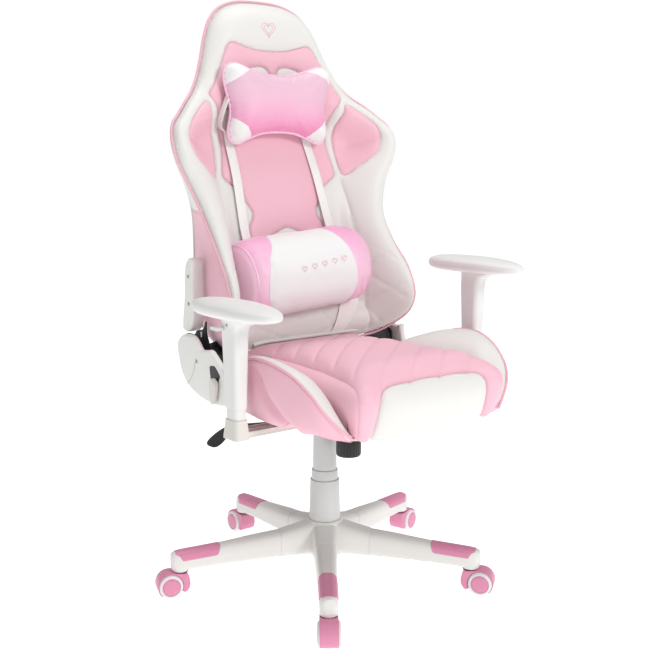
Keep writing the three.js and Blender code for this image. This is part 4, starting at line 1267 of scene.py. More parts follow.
def lumbar_pillow():
    low_end, high_end = LUMBAR_ENDS
    turns = np.linspace(0, 2 * math.pi, LUMBAR_SIDES + 1)
    folded = np.where(turns <= math.pi, turns, 2 * math.pi - turns)
    left = np.interp(folded, *zip(*BAND_LEFT))
    right = np.interp(folded, *zip(*BAND_RIGHT))
    blocks = [
        ("right_end", np.full(len(turns), low_end), left, "lumbar_satin"),
        ("band", left, right, "white_satin"),
        ("left_end", right, np.full(len(turns), high_end), "lumbar_satin"),
    ]
    loops = [
        lumbar_place(lumbar_section(turns[:-1], np.full(LUMBAR_SIDES, x)))
        for x in np.linspace(low_end, high_end, 50)
    ]
    body, faces = loft(loops)
    movement = settled(body, faces, np.vstack([loops[0], loops[-1]]), CLOTH_LIMIT)
    for name, start, end, material in blocks:
        count = max(10, round((end - start).mean() / 0.005))
        shares = np.linspace(0, 1, count)[:, None]
        x = start[None, :] * (1 - shares) + end[None, :] * shares
        grid = lumbar_place(lumbar_section(np.broadcast_to(turns, x.shape), x))
        places = grid.reshape(-1, 3)
        fade = smoothstep(np.minimum(x - low_end, high_end - x) / 0.012).reshape(-1, 1)
        grid = (places + movement(places) * fade).reshape(grid.shape)
        tuck = seam_tuck(*grid.shape[:2], ("low", "high"), 0.0022, 0.004, 0.005)
        shape = wrapped(grid, 0.003, tuck + 0.0012 * unevenness(grid, 0.03))
        obj = cushion(f"lumbar_pillow_{name}", shape, material, "lumbar_pillow")
        if name == "band":
            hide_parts("lumbar_pillow")
    lumbar_cap("right", low_end, -1)
    lumbar_cap("left", high_end, 1)
    hearts = []
    for i in range(5):
        outline = heart(0.0062, -0.050 + 0.026 * i, 0.004 + 0.002 * i)
        turn = math.pi / 2 - outline[:, 1] / (LUMBAR_HEIGHT / 2)
        line = lumbar_place(lumbar_section(turn, outline[:, 0]) - [0, 0.0019, 0])
        hearts.append(tube(line + movement(line), 0.0005, 6, True))
    make(
        "lumbar_pillow_embroidery", joined(*hearts), "embroidery", "lumbar_pillow", SOFT_ANGLE
    )


def wrapped(grid, thick, wave):
    """A closed sleeve from a grid whose second direction runs once around and meets itself."""
    grid = grid[:, :-1]
    points, faces = loft(list(grid), loop=True, caps=False)
    axis = np.broadcast_to(grid.mean(1, keepdims=True), grid.shape).reshape(-1, 3)
    return relieved(points, faces, axis, thick, wave[:, :-1])


def lumbar_cap(end, x, sign):
    """The pillow's D-shaped end, swelling a little, with piping round it."""
    turns = np.linspace(0, 2 * math.pi, LUMBAR_SIDES, endpoint=False)
    ring = lumbar_section(turns, np.full(LUMBAR_SIDES, x))
    centre = np.array([x, -0.055, 0.0])
    rings = []
    for share in np.arange(10) / 10:
        bulge = 0.012 * (1 - (1 - share) ** 2) ** 0.5
        rings.append(centre + (ring - centre) * (1 - share) + [sign * bulge, 0, 0])
    rings = rings + [r - [sign * 0.004, 0, 0] for r in rings[::-1]]
    shape = cap_shape([lumbar_place(r) for r in rings])
    # The caps take the lighter satin, painted light that brightens them against their shade.
    cushion(f"lumbar_pillow_cap_{end}", shape, "lumbar_end_painted_lit", "lumbar_pillow")
    seam = tube(lumbar_place(ring), 0.0013, 8, closed=True)
    make(f"lumbar_pillow_seam_{end}", seam, "satin_piping", "lumbar_pillow")


def cap_shape(rings):
    """Rings that run in to a centre and back out again below, closed at the rim."""
    half = len(rings) // 2
    centre = [ring * 0.02 + ring.mean(0) * 0.98 for ring in rings[half - 1:half + 1]]
    return loft([*rings[:half], *centre, *rings[half:], rings[0]], caps=False)


# ---------------------------------------------------------------- straps
def band(path, side, half, thick):
    """A flat strap along a path. side is the direction across it at each point."""
    path, side = np.asarray(path), np.asarray(side, float)
    if side.ndim == 1:
        side = np.tile(side, (len(path), 1))
    ahead = np.gradient(path, axis=0)
    ahead /= np.linalg.norm(ahead, axis=1)[:, None]
    side = side - ahead * np.sum(side * ahead, axis=1)[:, None]
    side /= np.linalg.norm(side, axis=1)[:, None]
    up = np.cross(side, ahead)
    widths = np.broadcast_to(half, len(path))
    half_way = [(-1, -0.5), (-0.86, -1), (0.86, -1), (1, -0.5)]
    corners = half_way + [(-a, -b) for a, b in half_way]
    rings = []
    for p, s, u, w in zip(path, side, up, widths):
        rings.append(np.array([p + s * w * a + u * thick / 2 * b for a, b in corners]))
    return loft(rings)


def on_front(points, off):
    """(x, z) on the backrest's front, held off it."""
    flat = np.asarray(points, float)
    held = front_surface(flat)
    held[:, 1] -= off
    return held


# Straps by x and z, from their upper end.
STRAP_LEFT = [(0.071, 1.000), (0.079, 0.934), (0.093, 0.840), (0.106, 0.760), (0.116, 0.700)]
STRAP_LEFT_LOW = [(0.138, 0.640), (0.134, 0.585), (0.108, 0.545), (0.084, 0.508)]
STRAP_LOOP = [(-0.116, 1.050), (-0.138, 1.020), (-0.151, 0.985), (-0.146, 0.962), (-0.116, 0.950)]
STRAP_RIGHT = [
    (-0.123, 1.0), (-0.1222, 0.934), (-0.1195, 0.84), (-0.1175, 0.76), (-0.116, 0.7),
]


def straps():
    right = smooth(STRAP_RIGHT, 0.006)
    left = smooth(STRAP_LEFT, 0.006)
    low = smooth(STRAP_LEFT_LOW, 0.006)
    loop = smooth(STRAP_LOOP, 0.005)
    narrowing = np.interp(low[:, 1], [0.508, 0.545, 0.585, 0.64], [0.010, 0.018, 0.027, 0.029])
    shapes = [
        band(on_front(right, strap_gap(right)), (1, 0, 0), 0.0105, 0.0022),
        band(on_front(left, strap_gap(left)), (1, 0, 0), 0.0105, 0.0022),
        band(on_front(low, 0.006), (1, 0, 0), narrowing, 0.0022),
        band(on_front(loop, 0.016), (0, 1, 0.2), 0.0085, 0.0020),
    ]
    held = make("pillow_straps_woven", joined(*shapes), "white_strap", "backrest")
    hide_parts("pillow_straps")


def strap_gap(path):
    """A strap lies on the back at the neck and stands off it where the lumbar pillow pulls it."""
    return np.interp(path[:, 1], [0.70, 0.76, 0.90, 1.0], [0.016, 0.010, 0.008, 0.006])


seat()
head_pillow()
lumbar_pillow()
straps()


# ---------------------------------------------------------------- star base
def ring_of(points, count):
    """A smooth closed curve through a few points, as a fixed number of points."""
    fine = smooth(points, 0.0004, closed=True)
    fine = np.vstack([fine, fine[:1]])
    along = np.concatenate([[0], np.cumsum(np.linalg.norm(np.diff(fine, axis=0), axis=1))])
    places = np.linspace(0, along[-1], count, endpoint=False)
    return np.column_stack([np.interp(places, along, fine[:, i]) for i in range(fine.shape[1])])


def rounded_box(half_x, half_y, corner, count=48):
    """A rectangle with rounded corners, as a closed ring of [x, y] points."""
    turn = (np.arange(count) + 0.5) * 2 * math.pi / count
    c, s = np.cos(turn), np.sin(turn)
    x = np.sign(c) * (half_x - corner) + corner * c
    y = np.sign(s) * (half_y - corner) + corner * s
    return np.column_stack([x, y])


def leg_angle(k):
    """The direction of a leg, from its pad's place in the frame."""
    low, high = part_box(f"leg_pad_{k}")
    middle = (np.array(low) + np.array(high)) / 2 - COLUMN
    return math.atan2(middle[1], middle[0])


def on_leg(shape, k):
    return transformed(shape, Matrix.Rotation(leg_angle(k), 4, "Z"))


STEM_R = 0.320
# Leg sections: distance out, top, bottom, half width.
LEG = [
    (0.02, 0.129, 0.06, 0.027), (0.06, 0.1208, 0.0607, 0.0248), (0.102, 0.1122, 0.0619, 0.0227),
    (0.1042, 0.1118, 0.062, 0.0226), (0.1048, 0.1108, 0.063, 0.0216),
    (0.106, 0.1107, 0.063, 0.0216), (0.1066, 0.1117, 0.062, 0.0225),
    (0.15, 0.1087, 0.0617, 0.0211), (0.236, 0.1005, 0.061, 0.0187), (0.29, 0.0972, 0.059, 0.0181),
    (0.315, 0.0958, 0.0578, 0.0178), (0.329, 0.0945, 0.0578, 0.0165),
    (0.3355, 0.0932, 0.0585, 0.0135), (0.3385, 0.0915, 0.0598, 0.0095),
    (0.3392, 0.089, 0.062, 0.005),
]
LEG_SLOPE_WIDE, LEG_SLOPE_TALL = 0.0075, 0.0125  # the sloping shoulders either side of the top


def leg_section(top, bottom, half):
    tall = min(LEG_SLOPE_TALL, (top - bottom) * 0.4)
    wide = min(LEG_SLOPE_WIDE, half * 0.5)
    right = [
        (half - 0.003, bottom), (half, bottom + 0.0035),
        (half + 0.0003, (bottom + top - tall) / 2), (half, top - tall - 0.002),
        (half - wide * 0.35, top - tall * 0.45), (half - wide, top - 0.0012),
        (half - wide - 0.003, top),
    ]
    return ring_of(np.vstack([right, mirrored(right)]), 56)


def pad_section(top, half, share):
    """The pad's upper face across a leg, as offsets: half width, drop."""
    tall, wide = LEG_SLOPE_TALL, LEG_SLOPE_WIDE
    right = np.array([
        (0.0, 0.0012), (half - wide - 0.003, 0.0011), (half - wide + 0.0005, -0.0006),
        (half - wide * 0.35 + 0.0011, -tall * 0.45), (half + 0.0012, -tall - 0.0015),
    ])
    line = np.vstack([mirrored(right), right[1:]])
    line = resampled(line, 25)
    line[:, 0] *= share
    low = np.interp(np.abs(line[:, 0]), right[:, 0], right[:, 1])
    return np.column_stack([line[:, 0], top + low])


def leg_pad_shape():
    """The pink cover let into the end of a leg: round at its inner end, cut across outside."""
    rows = []
    for r in np.linspace(0.236, 0.3305, 40):
        top = np.interp(r, [s[0] for s in LEG], [s[1] for s in LEG])
        half = np.interp(r, [s[0] for s in LEG], [s[3] for s in LEG])
        inner = np.clip((r - 0.236) / 0.010, 0, 1)
        outer = np.clip((0.3305 - r) / 0.014, 0, 1)
        share = min(1.0, 0.60 + 0.40 * math.sqrt(1 - (1 - inner) ** 2), 0.62 + 0.38 * outer)
        section = pad_section(top, half, share)
        rows.append(np.column_stack([np.full(len(section), r), section]))
    points, faces = loft(rows, loop=False, caps=False)
    return sheet_with_back(points, faces, np.array([0, 0, -0.003]))


def star_base():
    rings = []
    for r, top, bottom, half in LEG:
        section = leg_section(top, bottom, half)
        rings.append(np.column_stack([np.full(len(section), r), section]))
    leg = loft(rings)
    collar = lathe([
        (0.0, 0.0528), (0.012, 0.0528), (0.016, 0.0534), (0.0176, 0.055), (0.018, 0.0575),
        (0.018, 0.062), (0.0, 0.062),
    ], 48)
    collar = transformed(collar, Matrix.Translation((STEM_R, 0, 0)))
    hub = lathe([
        (0.0, 0.052), (0.036, 0.052), (0.0385, 0.0535), (0.0415, 0.058), (0.0425, 0.064),
        (0.0425, 0.114), (0.0418, 0.121), (0.039, 0.1275), (0.036, 0.13), (0.0, 0.13),
    ], 96)
    parts = [hub]
    for k in range(1, 6):
        parts += [on_leg(leg, k), on_leg(collar, k)]
    base = make("base_star_moulding", joined(*parts), "white_plastic", "base", 38)
    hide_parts("star_base")
    pad = leg_pad_shape()
    for k in range(1, 6):
        cover = make(f"base_foot_cover_{k}", on_leg(pad, k), "pink_plastic", "base", 50)
        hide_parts(f"leg_pad_{k}")


# ---------------------------------------------------------------- casters
# A caster stands with its stem on the Z axis, its wheels trailing along +X.
AXLE_X, WHEEL_R = 0.0226, 0.0255
HOOD_HALF = 0.018
WHEEL_IN, WHEEL_OUT = 0.0064, 0.0230


def wheel_shapes():
    """A tyre with its web, and the cap pressed into it, both turned about Z and facing up."""
    r = WHEEL_R
    tyre = turned([
        (0.0035, WHEEL_IN), (r - 0.006, WHEEL_IN), (r - 0.0012, WHEEL_IN + 0.0006),
        (r, WHEEL_IN + 0.002), (r, WHEEL_OUT - 0.0068), (r - 0.0006, WHEEL_OUT - 0.004),
        (r - 0.0022, WHEEL_OUT - 0.0018), (r - 0.0045, WHEEL_OUT - 0.0006),
        (r - 0.0062, WHEEL_OUT - 0.0006), (r - 0.0068, WHEEL_OUT - 0.0016),
        (r - 0.007, WHEEL_OUT - 0.003), (0.0035, WHEEL_OUT - 0.003),
    ], 72)
    disc = r - 0.0073
    cap = lathe([
        (0.0, WHEEL_OUT - 0.0034), (disc, WHEEL_OUT - 0.0034), (disc, WHEEL_OUT - 0.0022),
        (disc - 0.0006, WHEEL_OUT - 0.0012), (disc - 0.0018, WHEEL_OUT - 0.0006),
        (disc * 0.6, WHEEL_OUT - 0.0001), (disc * 0.3, WHEEL_OUT + 0.0001),
        (0.0, WHEEL_OUT + 0.0002),
    ], 72)
    return tyre, cap


# Angle about the axle in degrees, distance from the axle.
HOOD_OUTLINE = [
    (-46, 0.0268), (-20, 0.027), (10, 0.0275), (40, 0.0281), (70, 0.0283), (95, 0.0282),
    (112, 0.029), (126, 0.0325), (137, 0.0368), (143, 0.0416), (150, 0.043), (159, 0.0421),
    (169, 0.0413), (180, 0.0405), (191, 0.0387), (201, 0.0362), (207, 0.033),
]


def hood_shape():
    """The fork between the wheels and the shell over them."""
    outline = np.array(HOOD_OUTLINE, float)
    degrees = np.linspace(-46, 207, 85)
    reach = resampled(outline, 200)
    radii = np.interp(degrees, reach[:, 0], reach[:, 1])
    sections = []
    for angle, radius in zip(np.radians(degrees), radii):
        half = (radius - 0.0260) / 2
        ring = rounded_box(half, HOOD_HALF, min(0.0016, half * 0.9), 24)
        out = 0.0260 + half + ring[:, 0]
        sections.append(np.column_stack([
            AXLE_X + out * math.cos(angle), ring[:, 1], WHEEL_R + out * math.sin(angle),
        ]))
    shell = loft(sections)
    turn = np.radians(degrees[::2])
    rim = np.column_stack([AXLE_X + radii[::2] * np.cos(turn), WHEEL_R + radii[::2] * np.sin(turn)])
    low = [(0.004, 0.0075), (0.020, 0.0062), (0.034, 0.0062)]
    fin = plate(np.vstack([rim, low]), -0.0056, 0.0056, 0.0005, across_y, 2)
    stem = lathe([
        (0.0, 0.044), (0.0112, 0.044), (0.0112, 0.0526), (0.0055, 0.0527), (0.0055, 0.085),
        (0.0, 0.085),
    ], 32)
    return joined(shell, fin, stem)


def across_y(points):
    """(x, z, y) columns as (x, y, z)."""
    return points[:, [0, 2, 1]]


def casters():
    tyre, cap = wheel_shapes()
    hood = hood_shape()
    for k in range(1, 6):
        place = Matrix.Rotation(leg_angle(k), 4, "Z") @ Matrix.Translation((STEM_R, 0, 0))
        fork = make(f"caster_{k}_fork", transformed(hood, place), "pink_plastic", f"caster_{k}", 35)
        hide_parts(f"caster_{k}_hood")
        for name, turn in (("right", math.pi / 2), ("left", -math.pi / 2)):
            axle = place @ Matrix.Translation((AXLE_X, 0, WHEEL_R)) @ Matrix.Rotation(turn, 4, "X")
            body = f"caster_{k}_wheels"
            rim = make(f"caster_{k}_tyre_{name}", transformed(tyre, axle), "wheel_white", body, 35)
            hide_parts(f"caster_{k}_wheel_{name}")
            make(f"caster_{k}_cap_{name}", transformed(cap, axle), "pink_plastic", body, 35)
        # A thin dark ring between the leg's collar and the hood: a painted shadow in the gap between
        # them.
        ring = turned([(0.0057, 0.0522), (0.0172, 0.0518), (0.0172, 0.0526), (0.0057, 0.0527)], 40)
        make(f"caster_{k}_gap", transformed(ring, place), "painted_shadow_pink", f"caster_{k}", 35)


# ---------------------------------------------------------------- column and mechanism
# Each cover's section as radius and height, and the body it rides on.
COLUMN_COVERS = [
    ("lower", [
        (0.029, 0.1303), (0.0325, 0.1303), (0.0335, 0.1315), (0.0334, 0.14), (0.0313, 0.2165),
        (0.0308, 0.2185), (0.0298, 0.219), (0.0292, 0.2186), (0.0292, 0.215),
    ], "base"),
    ("middle", [
        (0.0268, 0.178), (0.0288, 0.178), (0.0283, 0.2385), (0.0279, 0.2404), (0.0272, 0.241),
        (0.0266, 0.2406),
    ], "column_middle"),
    ("upper", [
        (0.0248, 0.215), (0.0262, 0.215), (0.0262, 0.23), (0.024, 0.3425), (0.0234, 0.3432),
        (0.0226, 0.3425),
    ], "lift"),
]


def column():
    """The three telescoping covers of the gas cylinder."""
    for name, profile, body in COLUMN_COVERS:
        made = make(f"column_shroud_{name}", turned(profile), "column_plastic", body, 35)
        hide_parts(f"column_cover_{name}")


KNOB_Y = -0.082
# The tension knob: radius, how deep the flutes are, height.
KNOB = [
    (0.001, 0, 0.2905), (0.018, 0, 0.2905), (0.0215, 0, 0.2893), (0.024, 0.1, 0.2898),
    (0.0255, 0.5, 0.2915), (0.0262, 1, 0.2945), (0.0262, 1, 0.33), (0.0252, 0.6, 0.3335),
    (0.023, 0, 0.334), (0.001, 0, 0.334),
]


def knob():
    """The tension knob: fluted round its side, dished underneath."""
    sides = 216
    turn = np.linspace(0, 2 * math.pi, sides, endpoint=False)
    flutes = np.abs(np.sin(turn * 12)) ** 0.6
    rings = []
    for radius, depth, z in KNOB:
        r = radius - 0.0014 * depth * (1 - flutes)
        rings.append(np.column_stack([np.cos(turn) * r, KNOB_Y + np.sin(turn) * r, np.full(sides, z)]))
    shaft = lathe([(0, 0.333), (0.005, 0.333), (0.005, 0.370), (0, 0.370)], 32)
    shaft = transformed(shaft, Matrix.Translation((0, KNOB_Y, 0)))
    made = make("tension_knob_fluted", joined(loft(rings), shaft), "black_plastic", "tension_knob", 45)
    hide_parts("tension_knob")


# The height lever: across, height, half width, half thickness.
LEVER = [
    (-0.096, 0.367, 0.0032, 0.0032), (-0.2, 0.3768, 0.0032, 0.0032),
    (-0.232, 0.38, 0.0036, 0.0034), (-0.242, 0.3815, 0.0055, 0.0038),
    (-0.25, 0.3805, 0.009, 0.0042), (-0.262, 0.376, 0.013, 0.0046),
    (-0.276, 0.368, 0.0185, 0.0046), (-0.288, 0.36, 0.021, 0.0044),
    (-0.297, 0.3545, 0.0195, 0.0038), (-0.302, 0.3518, 0.015, 0.0026),
    (-0.304, 0.3508, 0.009, 0.0012),
]


def height_lever():
    stations = resampled(np.array(LEVER), 60)
    c, s = circle(32).T
    across = np.sign(c) * np.abs(c) ** 0.6
    up = np.sign(s) * np.abs(s) ** 0.7
    rings = [
        np.column_stack([np.full(32, x), -0.030 + across * wide, z + up * thick])
        for x, z, wide, thick in stations
    ]
    made = make("height_lever_paddle", loft(rings), "black_plastic", "height_lever", 50)
    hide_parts("height_lever")


# ---------------------------------------------------------------- armrests
ARM_X, ARM_Y = 0.306, -0.130
ARM_RAISED = {"left": 0.043, "right": 0.0}
# Sleeve sections for the right arm: height, width, depth, shift backward, corner.
SLEEVE = [
    (0.449, 0.027, 0.041, 0.0, 0.0085), (0.45, 0.0285, 0.0425, 0.0, 0.009),
    (0.49, 0.03, 0.045, 0.0, 0.0095), (0.53, 0.0318, 0.048, 0.0, 0.01),
    (0.562, 0.0332, 0.0505, 0.0, 0.0105), (0.582, 0.0342, 0.052, 0.0, 0.011),
    (0.595, 0.035, 0.0545, -0.0015, 0.0115), (0.603, 0.0365, 0.061, -0.005, 0.013),
    (0.609, 0.039, 0.075, -0.012, 0.015), (0.614, 0.043, 0.092, -0.02, 0.018),
    (0.62, 0.043, 0.1, -0.023, 0.019),
]
# Sections of the socket at the bracket's end and of the post in it, in the same terms.
SOCKET = [
    (0.388, 0.032, 0.045, 0.0, 0.007), (0.389, 0.0345, 0.048, 0.0, 0.008),
    (0.393, 0.0345, 0.048, 0.0, 0.008), (0.402, 0.0325, 0.046, 0.0, 0.008),
    (0.42, 0.0295, 0.0425, 0.0, 0.008), (0.425, 0.029, 0.042, 0.0, 0.008),
    (0.426, 0.027, 0.04, 0.0, 0.0075),
]
POST = [(z, 0.0255, 0.0365, 0.0, 0.0080) for z in (0.3930, 0.4600, 0.5450)]
# A screw's head: share of its radius, height, how much of the cross recess it has.
SCREW_HEIGHT = 0.0012
SCREW = [
    (1, -0.001, 0), (1, SCREW_HEIGHT * 0.4, 0), (0.86, SCREW_HEIGHT * 0.9, 0),
    (0.66, SCREW_HEIGHT, 0), (0.5, SCREW_HEIGHT, 0.55), (0.3, SCREW_HEIGHT, 0.9),
    (0.1, SCREW_HEIGHT, 1), (0.01, SCREW_HEIGHT, 1),
]
PAD_LONG, PAD_WIDE, PAD_THICK = 0.270, 0.090, 0.0310
PAD_SLOPE = math.radians(0.6)


def tall_loft(stations, x, y, raised=0.0):
    """A post through stations of height, width, depth, shift and corner."""
    rings = []
    for z, width, depth, shift, corner in resampled(np.array(stations), 6 * len(stations)):
        ring = rounded_box(width / 2, depth / 2, min(corner, width / 2 - 0.0004))
        level = np.full(len(ring), z + raised)
        rings.append(np.column_stack([x + ring[:, 0], y + shift + ring[:, 1], level]))
    return loft(rings)


def pad_shape(x, y, z):
    """An armrest pad: oval from above, thick and round-edged."""
    c, s = circle(56).T
    across = np.sign(c) * np.abs(c) ** 0.82
    up = np.sign(s) * np.abs(s) ** 0.66
    low = np.where(up < 0, 1.0, 0.86)
    rings = []
    for t in np.sin(np.linspace(-math.pi / 2, math.pi / 2, 73)) * 0.99995:
        wide = PAD_WIDE / 2 * (1 - abs(t) ** 2.15) ** (1 / 2.05)
        fuller = 1.05 + 0.17 * smoothstep((t + 0.9) / 0.9)
        thick = PAD_THICK / 2 * fuller * (1 - abs(t) ** (3.4 if t < 0 else 4.6)) ** (1 / 2.4)
        along = y + t * PAD_LONG / 2
        lift = -t * PAD_LONG / 2 * math.tan(PAD_SLOPE) - 0.0025 * t * t
        level = z + lift + up * thick * low - 0.0012 * across**2 * (up > 0)
        rings.append(np.column_stack([x + across * wide, np.full(56, along), level]))
    return loft(rings)


def screw(radius):
    """A pan-head screw facing +Z, with a cross recess."""
    turn = np.linspace(0, 2 * math.pi, 48, endpoint=False)
    cross = np.exp(-((np.sin(2 * turn)) ** 2) / 0.10)
    rings = []
    for share, level, dip in SCREW:
        z = level - SCREW_HEIGHT * dip * cross
        rings.append(np.column_stack([circle(48) * radius * share, z]))
    return loft(rings)


def fastener(name, radius, place, turn, body):
    """A screw's head at a place, turned to face outward."""
    head = transformed(screw(radius), Matrix.Translation(place) @ turn)
    make(name, head, "screw_steel", body, 30)


def arm(name, side):
    raised = ARM_RAISED[name]
    x = side * ARM_X
    body = f"arm_{name}"
    low, high = sorted([side * 0.150, x - side * 0.010])
    bar = plate(rounded_strip(low, high, ARM_Y, 0.0205), 0.3905, 0.3945, 0.0010, upright)
    ribs = [
        plate(rounded_strip(low, high, ARM_Y + y, 0.0017), 0.3940, 0.4022, 0.0008, upright)
        for y in (-0.0185, 0.0, 0.0185)
    ]
    socket = joined(tall_loft(SOCKET, x, ARM_Y), bar, *ribs)
    bracket = make(f"arm_socket_{name}", socket, "socket_plastic", "seat", 38)
    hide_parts(f"arm_bracket_{name}")
    made = make(f"arm_inner_post_{name}", tall_loft(POST, x, ARM_Y), "arm_plastic", "seat", 38)
    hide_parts(f"arm_post_{name}")
    ring = rounded_box(0.0131, 0.0191, 0.0078) + [x, ARM_Y]
    rings = [np.column_stack([ring, np.full(len(ring), z + raised)]) for z in (0.4478, 0.4488)]
    make(f"arm_sleeve_gap_{name}", loft(rings), "seam_grey", body, 30)
    sleeve = make(f"arm_stalk_{name}", tall_loft(SLEEVE, x, ARM_Y, raised), "arm_plastic", body, 50)
    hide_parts(f"arm_sleeve_{name}")
    rest = pad_shape(x, ARM_Y - 0.003, 0.6320 + raised)
    pad = make(f"arm_rest_{name}", rest, "arm_plastic", body, 60)
    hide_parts(f"arm_pad_{name}")
    outward = Matrix.Rotation(side * math.pi / 2, 4, "Y")
    fastener(f"arm_screw_{name}", 0.0030, (x + side * 0.0180, -0.1310, 0.6045 + raised), outward, body)
    for i, y in enumerate((-0.142, -0.118)):
        place = (side * 0.215, y, 0.3905)
        fastener(f"arm_bolt_{name}_{i + 1}", 0.0042, place, Matrix.Rotation(math.pi, 4, "X"), "seat")


def rounded_strip(low, high, y, half):
    ring = rounded_box((high - low) / 2, half, min(half * 0.9, 0.004), 24)
    return ring + [(low + high) / 2, y]


# ---------------------------------------------------------------- recliner hinge
# Outlines seen from the side, as y and z.
HUB_COVER = [
    (0.138, 0.5422), (0.1246, 0.545), (0.0984, 0.5438), (0.0816, 0.5328), (0.069, 0.521),
    (0.052, 0.522), (0.0315, 0.5249), (0.0194, 0.5181), (-0.0005, 0.5038), (-0.02, 0.4876),
    (-0.033, 0.468), (-0.038, 0.445), (-0.03, 0.426), (-0.005, 0.418), (0.0286, 0.417),
    (0.058, 0.419), (0.0833, 0.4244), (0.11, 0.433), (0.1306, 0.4454), (0.147, 0.463),
    (0.1558, 0.4849), (0.1615, 0.505), (0.161, 0.523), (0.152, 0.534),
]
BACK_STRIP = [
    (0.134, 0.698), (0.126, 0.701), (0.1195, 0.693), (0.1185, 0.665), (0.1185, 0.636),
    (0.1165, 0.6), (0.1185, 0.572), (0.127, 0.554), (0.144, 0.546), (0.159, 0.55), (0.161, 0.564),
    (0.155, 0.6), (0.151, 0.6327), (0.15, 0.665), (0.144, 0.687),
]
BRACKET = [
    (0.1707, 0.537), (0.1593, 0.54), (0.134, 0.54), (0.1257, 0.55), (0.0986, 0.556),
    (0.0885, 0.576), (0.0885, 0.55), (0.0783, 0.5281), (0.069, 0.518), (0.056, 0.51),
    (0.054, 0.49), (0.09, 0.464), (0.125, 0.475), (0.15, 0.505), (0.169, 0.525),
]
LEVER_SLOT = [
    (0.0321, 0.4939), (0.0135, 0.497), (0.004, 0.49), (-0.0081, 0.4789), (-0.002, 0.47),
    (0.001, 0.4573), (0.012, 0.459), (0.026, 0.46), (0.03, 0.476),
]
RECLINE_LEVER = [
    (0.016, 0.469), (0.007, 0.474), (-0.002, 0.469), (-0.006, 0.458), (-0.002, 0.44),
    (0.002, 0.426), (0.007, 0.421), (0.0125, 0.423), (0.0155, 0.433), (0.0175, 0.45),
]
HUB_SEAM = [
    (0.084, 0.501), (0.09, 0.488), (0.0919, 0.4795), (0.099, 0.466), (0.1082, 0.454),
    (0.1242, 0.4397),
]
HUB_FACE, STRIP_FACE = 0.2640, 0.2498  # how far out the covers' outer faces stand
# The tube inside the back, right half from its foot up: x, z. The left half is run from its
# foot up too, so the tube crosses the back between them.
HOOP = [
    (0.205, 0.545), (0.168, 0.6), (0.15, 0.72), (0.14, 0.86), (0.128, 1.0), (0.105, 1.11),
    (0.06, 1.17), (0.0, 1.178),
]
HOOP_DEPTH = 0.040


def corners(points):
    """A closed outline with slightly rounded corners."""
    p = np.asarray(points, float)
    before, after = np.roll(p, 1, axis=0), np.roll(p, -1, axis=0)
    both = np.stack([p * 0.88 + before * 0.12, p * 0.88 + after * 0.12], axis=1).reshape(-1, 2)
    return respaced(np.vstack([both, both[:1]]), 0.002, closed=True)


def hinge(name, side):
    def sided(low, high):
        return sorted([side * low, side * high])

    outline = np.array(HUB_COVER)
    if side > 0:
        y = outline[:, 0]
        outline[:, 0] = np.where(y < 0.05, 0.05 + (y - 0.05) * 0.2, y)
    hub_outline = smooth(outline, 0.0025, closed=True)
    cover = plate(hub_outline, *sided(0.2505, HUB_FACE), 0.0055, across_x, 6)
    seam = smooth(HUB_SEAM, 0.003)
    line = np.column_stack([np.full(len(seam), side * HUB_FACE), seam])
    hub = make(f"hinge_hub_cover_{name}", cover, "cover_plastic", "seat", 50)
    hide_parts(f"hinge_cover_seat_{name}")
    make(f"hinge_hub_seam_{name}", tube(line, 0.0005, 6), "seam_grey", "seat")
    strip_outline = smooth(BACK_STRIP, 0.0025, closed=True)
    strip = plate(strip_outline, *sided(0.2225, STRIP_FACE), 0.0035, across_x, 5)
    back = make(f"hinge_back_cover_{name}", strip, "cover_plastic", "backrest", 50)
    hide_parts(f"hinge_cover_back_{name}")
    bracket = plate(corners(BRACKET), *sided(0.2340, 0.2376), 0.0008, across_x, 2)
    make(f"hinge_bracket_{name}", bracket, "black_steel", "backrest", 35)
    hole = rounded_box(0.0032, 0.0060, 0.0031, 24) + [0.1063, 0.5443]
    slot = plate(hole, *sided(0.2374, 0.2380), 0.0002, across_x, 1)
    make(f"hinge_bracket_slot_{name}", slot, "slot_light", "backrest", 35)
    lower = (0.020, 0.4300) if side < 0 else (0.135, 0.487)
    places = [("seat", HUB_FACE, 0.0827, 0.4945), ("seat", HUB_FACE, *lower)]
    places += [("backrest", STRIP_FACE, 0.1335, 0.6620), ("backrest", STRIP_FACE, 0.1340, 0.6050)]
    outward = Matrix.Rotation(side * math.pi / 2, 4, "Y")
    for i, (body, x, y, z) in enumerate(places):
        fastener(f"hinge_screw_{name}_{i + 1}", 0.0040, (side * x, y, z), outward, body)


def back_inner_frame():
    """The steel tube inside the back, which the hinge brackets are welded to."""
    flat = smooth(np.vstack([HOOP, mirrored(HOOP)[::-1][1:]]), 0.01)
    bars = []
    for z in (0.62, 0.86):
        end = np.interp(z, flat[:len(flat) // 2, 1], flat[:len(flat) // 2, 0])
        ends = off_back(np.array([(-end, z), (end, z)]), HOOP_DEPTH)
        bars.append(tube(ends, 0.006, 12))
    hoop = tube(off_back(flat, HOOP_DEPTH), 0.009, 14)
    made = make("back_inner_frame", joined(hoop, *bars), "black_steel", "backrest", 40)
    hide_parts("back_frame")


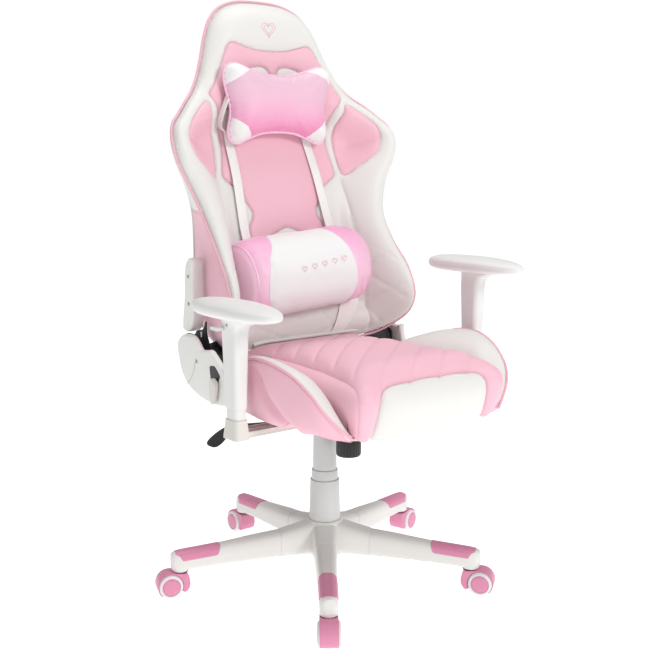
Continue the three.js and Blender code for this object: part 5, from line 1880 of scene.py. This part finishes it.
def recline_lever():
    slot = plate(corners(LEVER_SLOT), -0.2646, -0.2632, 0.0003, across_x, 1)
    make("recline_lever_slot", slot, "black_plastic", "seat", 35)
    outline = smooth(RECLINE_LEVER, 0.0015, closed=True)
    handle = plate(outline, -0.2765, -0.2665, 0.0032, across_x, 5)
    turn = Matrix.Translation((-0.262, 0.0060, 0.4620)) @ Matrix.Rotation(-math.pi / 2, 4, "Y")
    boss = transformed(lathe([(0, 0), (0.0065, 0), (0.0065, 0.008), (0, 0.008)], 40), turn)
    made = make("recline_lever_handle", joined(handle, boss), "socket_plastic", "recline_lever", 45)
    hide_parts("recline_lever")


# ---------------------------------------------------------------- emblem
def emblem():
    """A plain embroidered heart, outlined twice, on the headrest."""
    outlines = [on_front(heart(size, -0.003, 1.174), 0.0034) for size in (0.0170, 0.0110)]
    shape = joined(*[tube(line, 0.0008, 8, True) for line in outlines])
    make("headrest_embroidery", shape, "embroidery", "backrest", SOFT_ANGLE)


star_base()
casters()
column()
knob()
height_lever()
for side_name, side_sign in (("left", 1), ("right", -1)):
    arm(side_name, side_sign)
    hinge(side_name, side_sign)
back_inner_frame()
recline_lever()
emblem()
paint_frame()


# ---------------------------------------------------------------- studio
KEY_POWER = 43
FILL_POWER = 4
TOP_POWER = 46
AMBIENT = 0.42


def studio_world(world):
    """A white surround that lights the chair less than it shows."""
    nodes, links = world.node_tree.nodes, world.node_tree.links
    background = nodes["Background"]
    background.inputs["Color"].default_value = (1, 1, 1, 1)
    shown = nodes.new("ShaderNodeLightPath").outputs["Is Camera Ray"]
    strength = node(nodes, "ShaderNodeMath", operation="MULTIPLY_ADD")
    links.new(shown, strength.inputs[0])
    strength.inputs[1].default_value = 1 - AMBIENT
    strength.inputs[2].default_value = AMBIENT
    links.new(strength.outputs["Value"], background.inputs["Strength"])


def studio():
    scene = bpy.context.scene
    scene.view_settings.view_transform = "Standard"
    camera = bpy.data.objects.new("camera", bpy.data.cameras.new("camera"))
    scene.collection.objects.link(camera)
    camera.location = (-1.3311, -1.7420 + COLUMN[1], 0.9244)
    camera.rotation_euler = (math.radians(90 - 9.5945), 0, math.radians(-37.4))
    camera.data.lens = 58.43
    camera.data.sensor_width = 36
    camera.data.clip_end = 100
    scene.camera = camera
    world = bpy.data.worlds.new("studio")
    scene.world = world
    world.use_nodes = True
    studio_world(world)
    area_light("key", (0.35, -3.1, 2.1), (0, 0, 0.75), 1.0, KEY_POWER)
    area_light("fill", (-3.0, -1.2, 1.7), (0, 0, 0.6), 2.2, FILL_POWER)
    area_light("top", (0.0, 0.2, 3.6), (0, 0, 0.5), 2.4, TOP_POWER)
    floor_mesh = bpy.data.meshes.new("floor")
    floor_corners = [(-12, -12, 0), (12, -12, 0), (12, 12, 0), (-12, 12, 0)]
    floor_mesh.from_pydata(floor_corners, [], [(0, 1, 2, 3)])
    floor = bpy.data.objects.new("floor", floor_mesh)
    scene.collection.objects.link(floor)
    pale, _, _, shader = new_material("floor_pale")
    shader.inputs["Base Color"].default_value = (0.80, 0.80, 0.80, 1)
    shader.inputs["Roughness"].default_value = 0.9
    shader.inputs["Emission Color"].default_value = (1, 1, 1, 1)
    shader.inputs["Emission Strength"].default_value = 0.72
    floor_mesh.materials.append(pale)


def area_light(name, place, target, size, power):
    light = bpy.data.lights.new(name, "AREA")
    light.shape = "DISK"
    light.size = size
    light.energy = power
    lamp = bpy.data.objects.new(name, light)
    lamp.location = place
    aim = Vector(target) - Vector(place)
    lamp.rotation_euler = aim.to_track_quat("-Z", "Y").to_euler()
    bpy.context.scene.collection.objects.link(lamp)


studio()
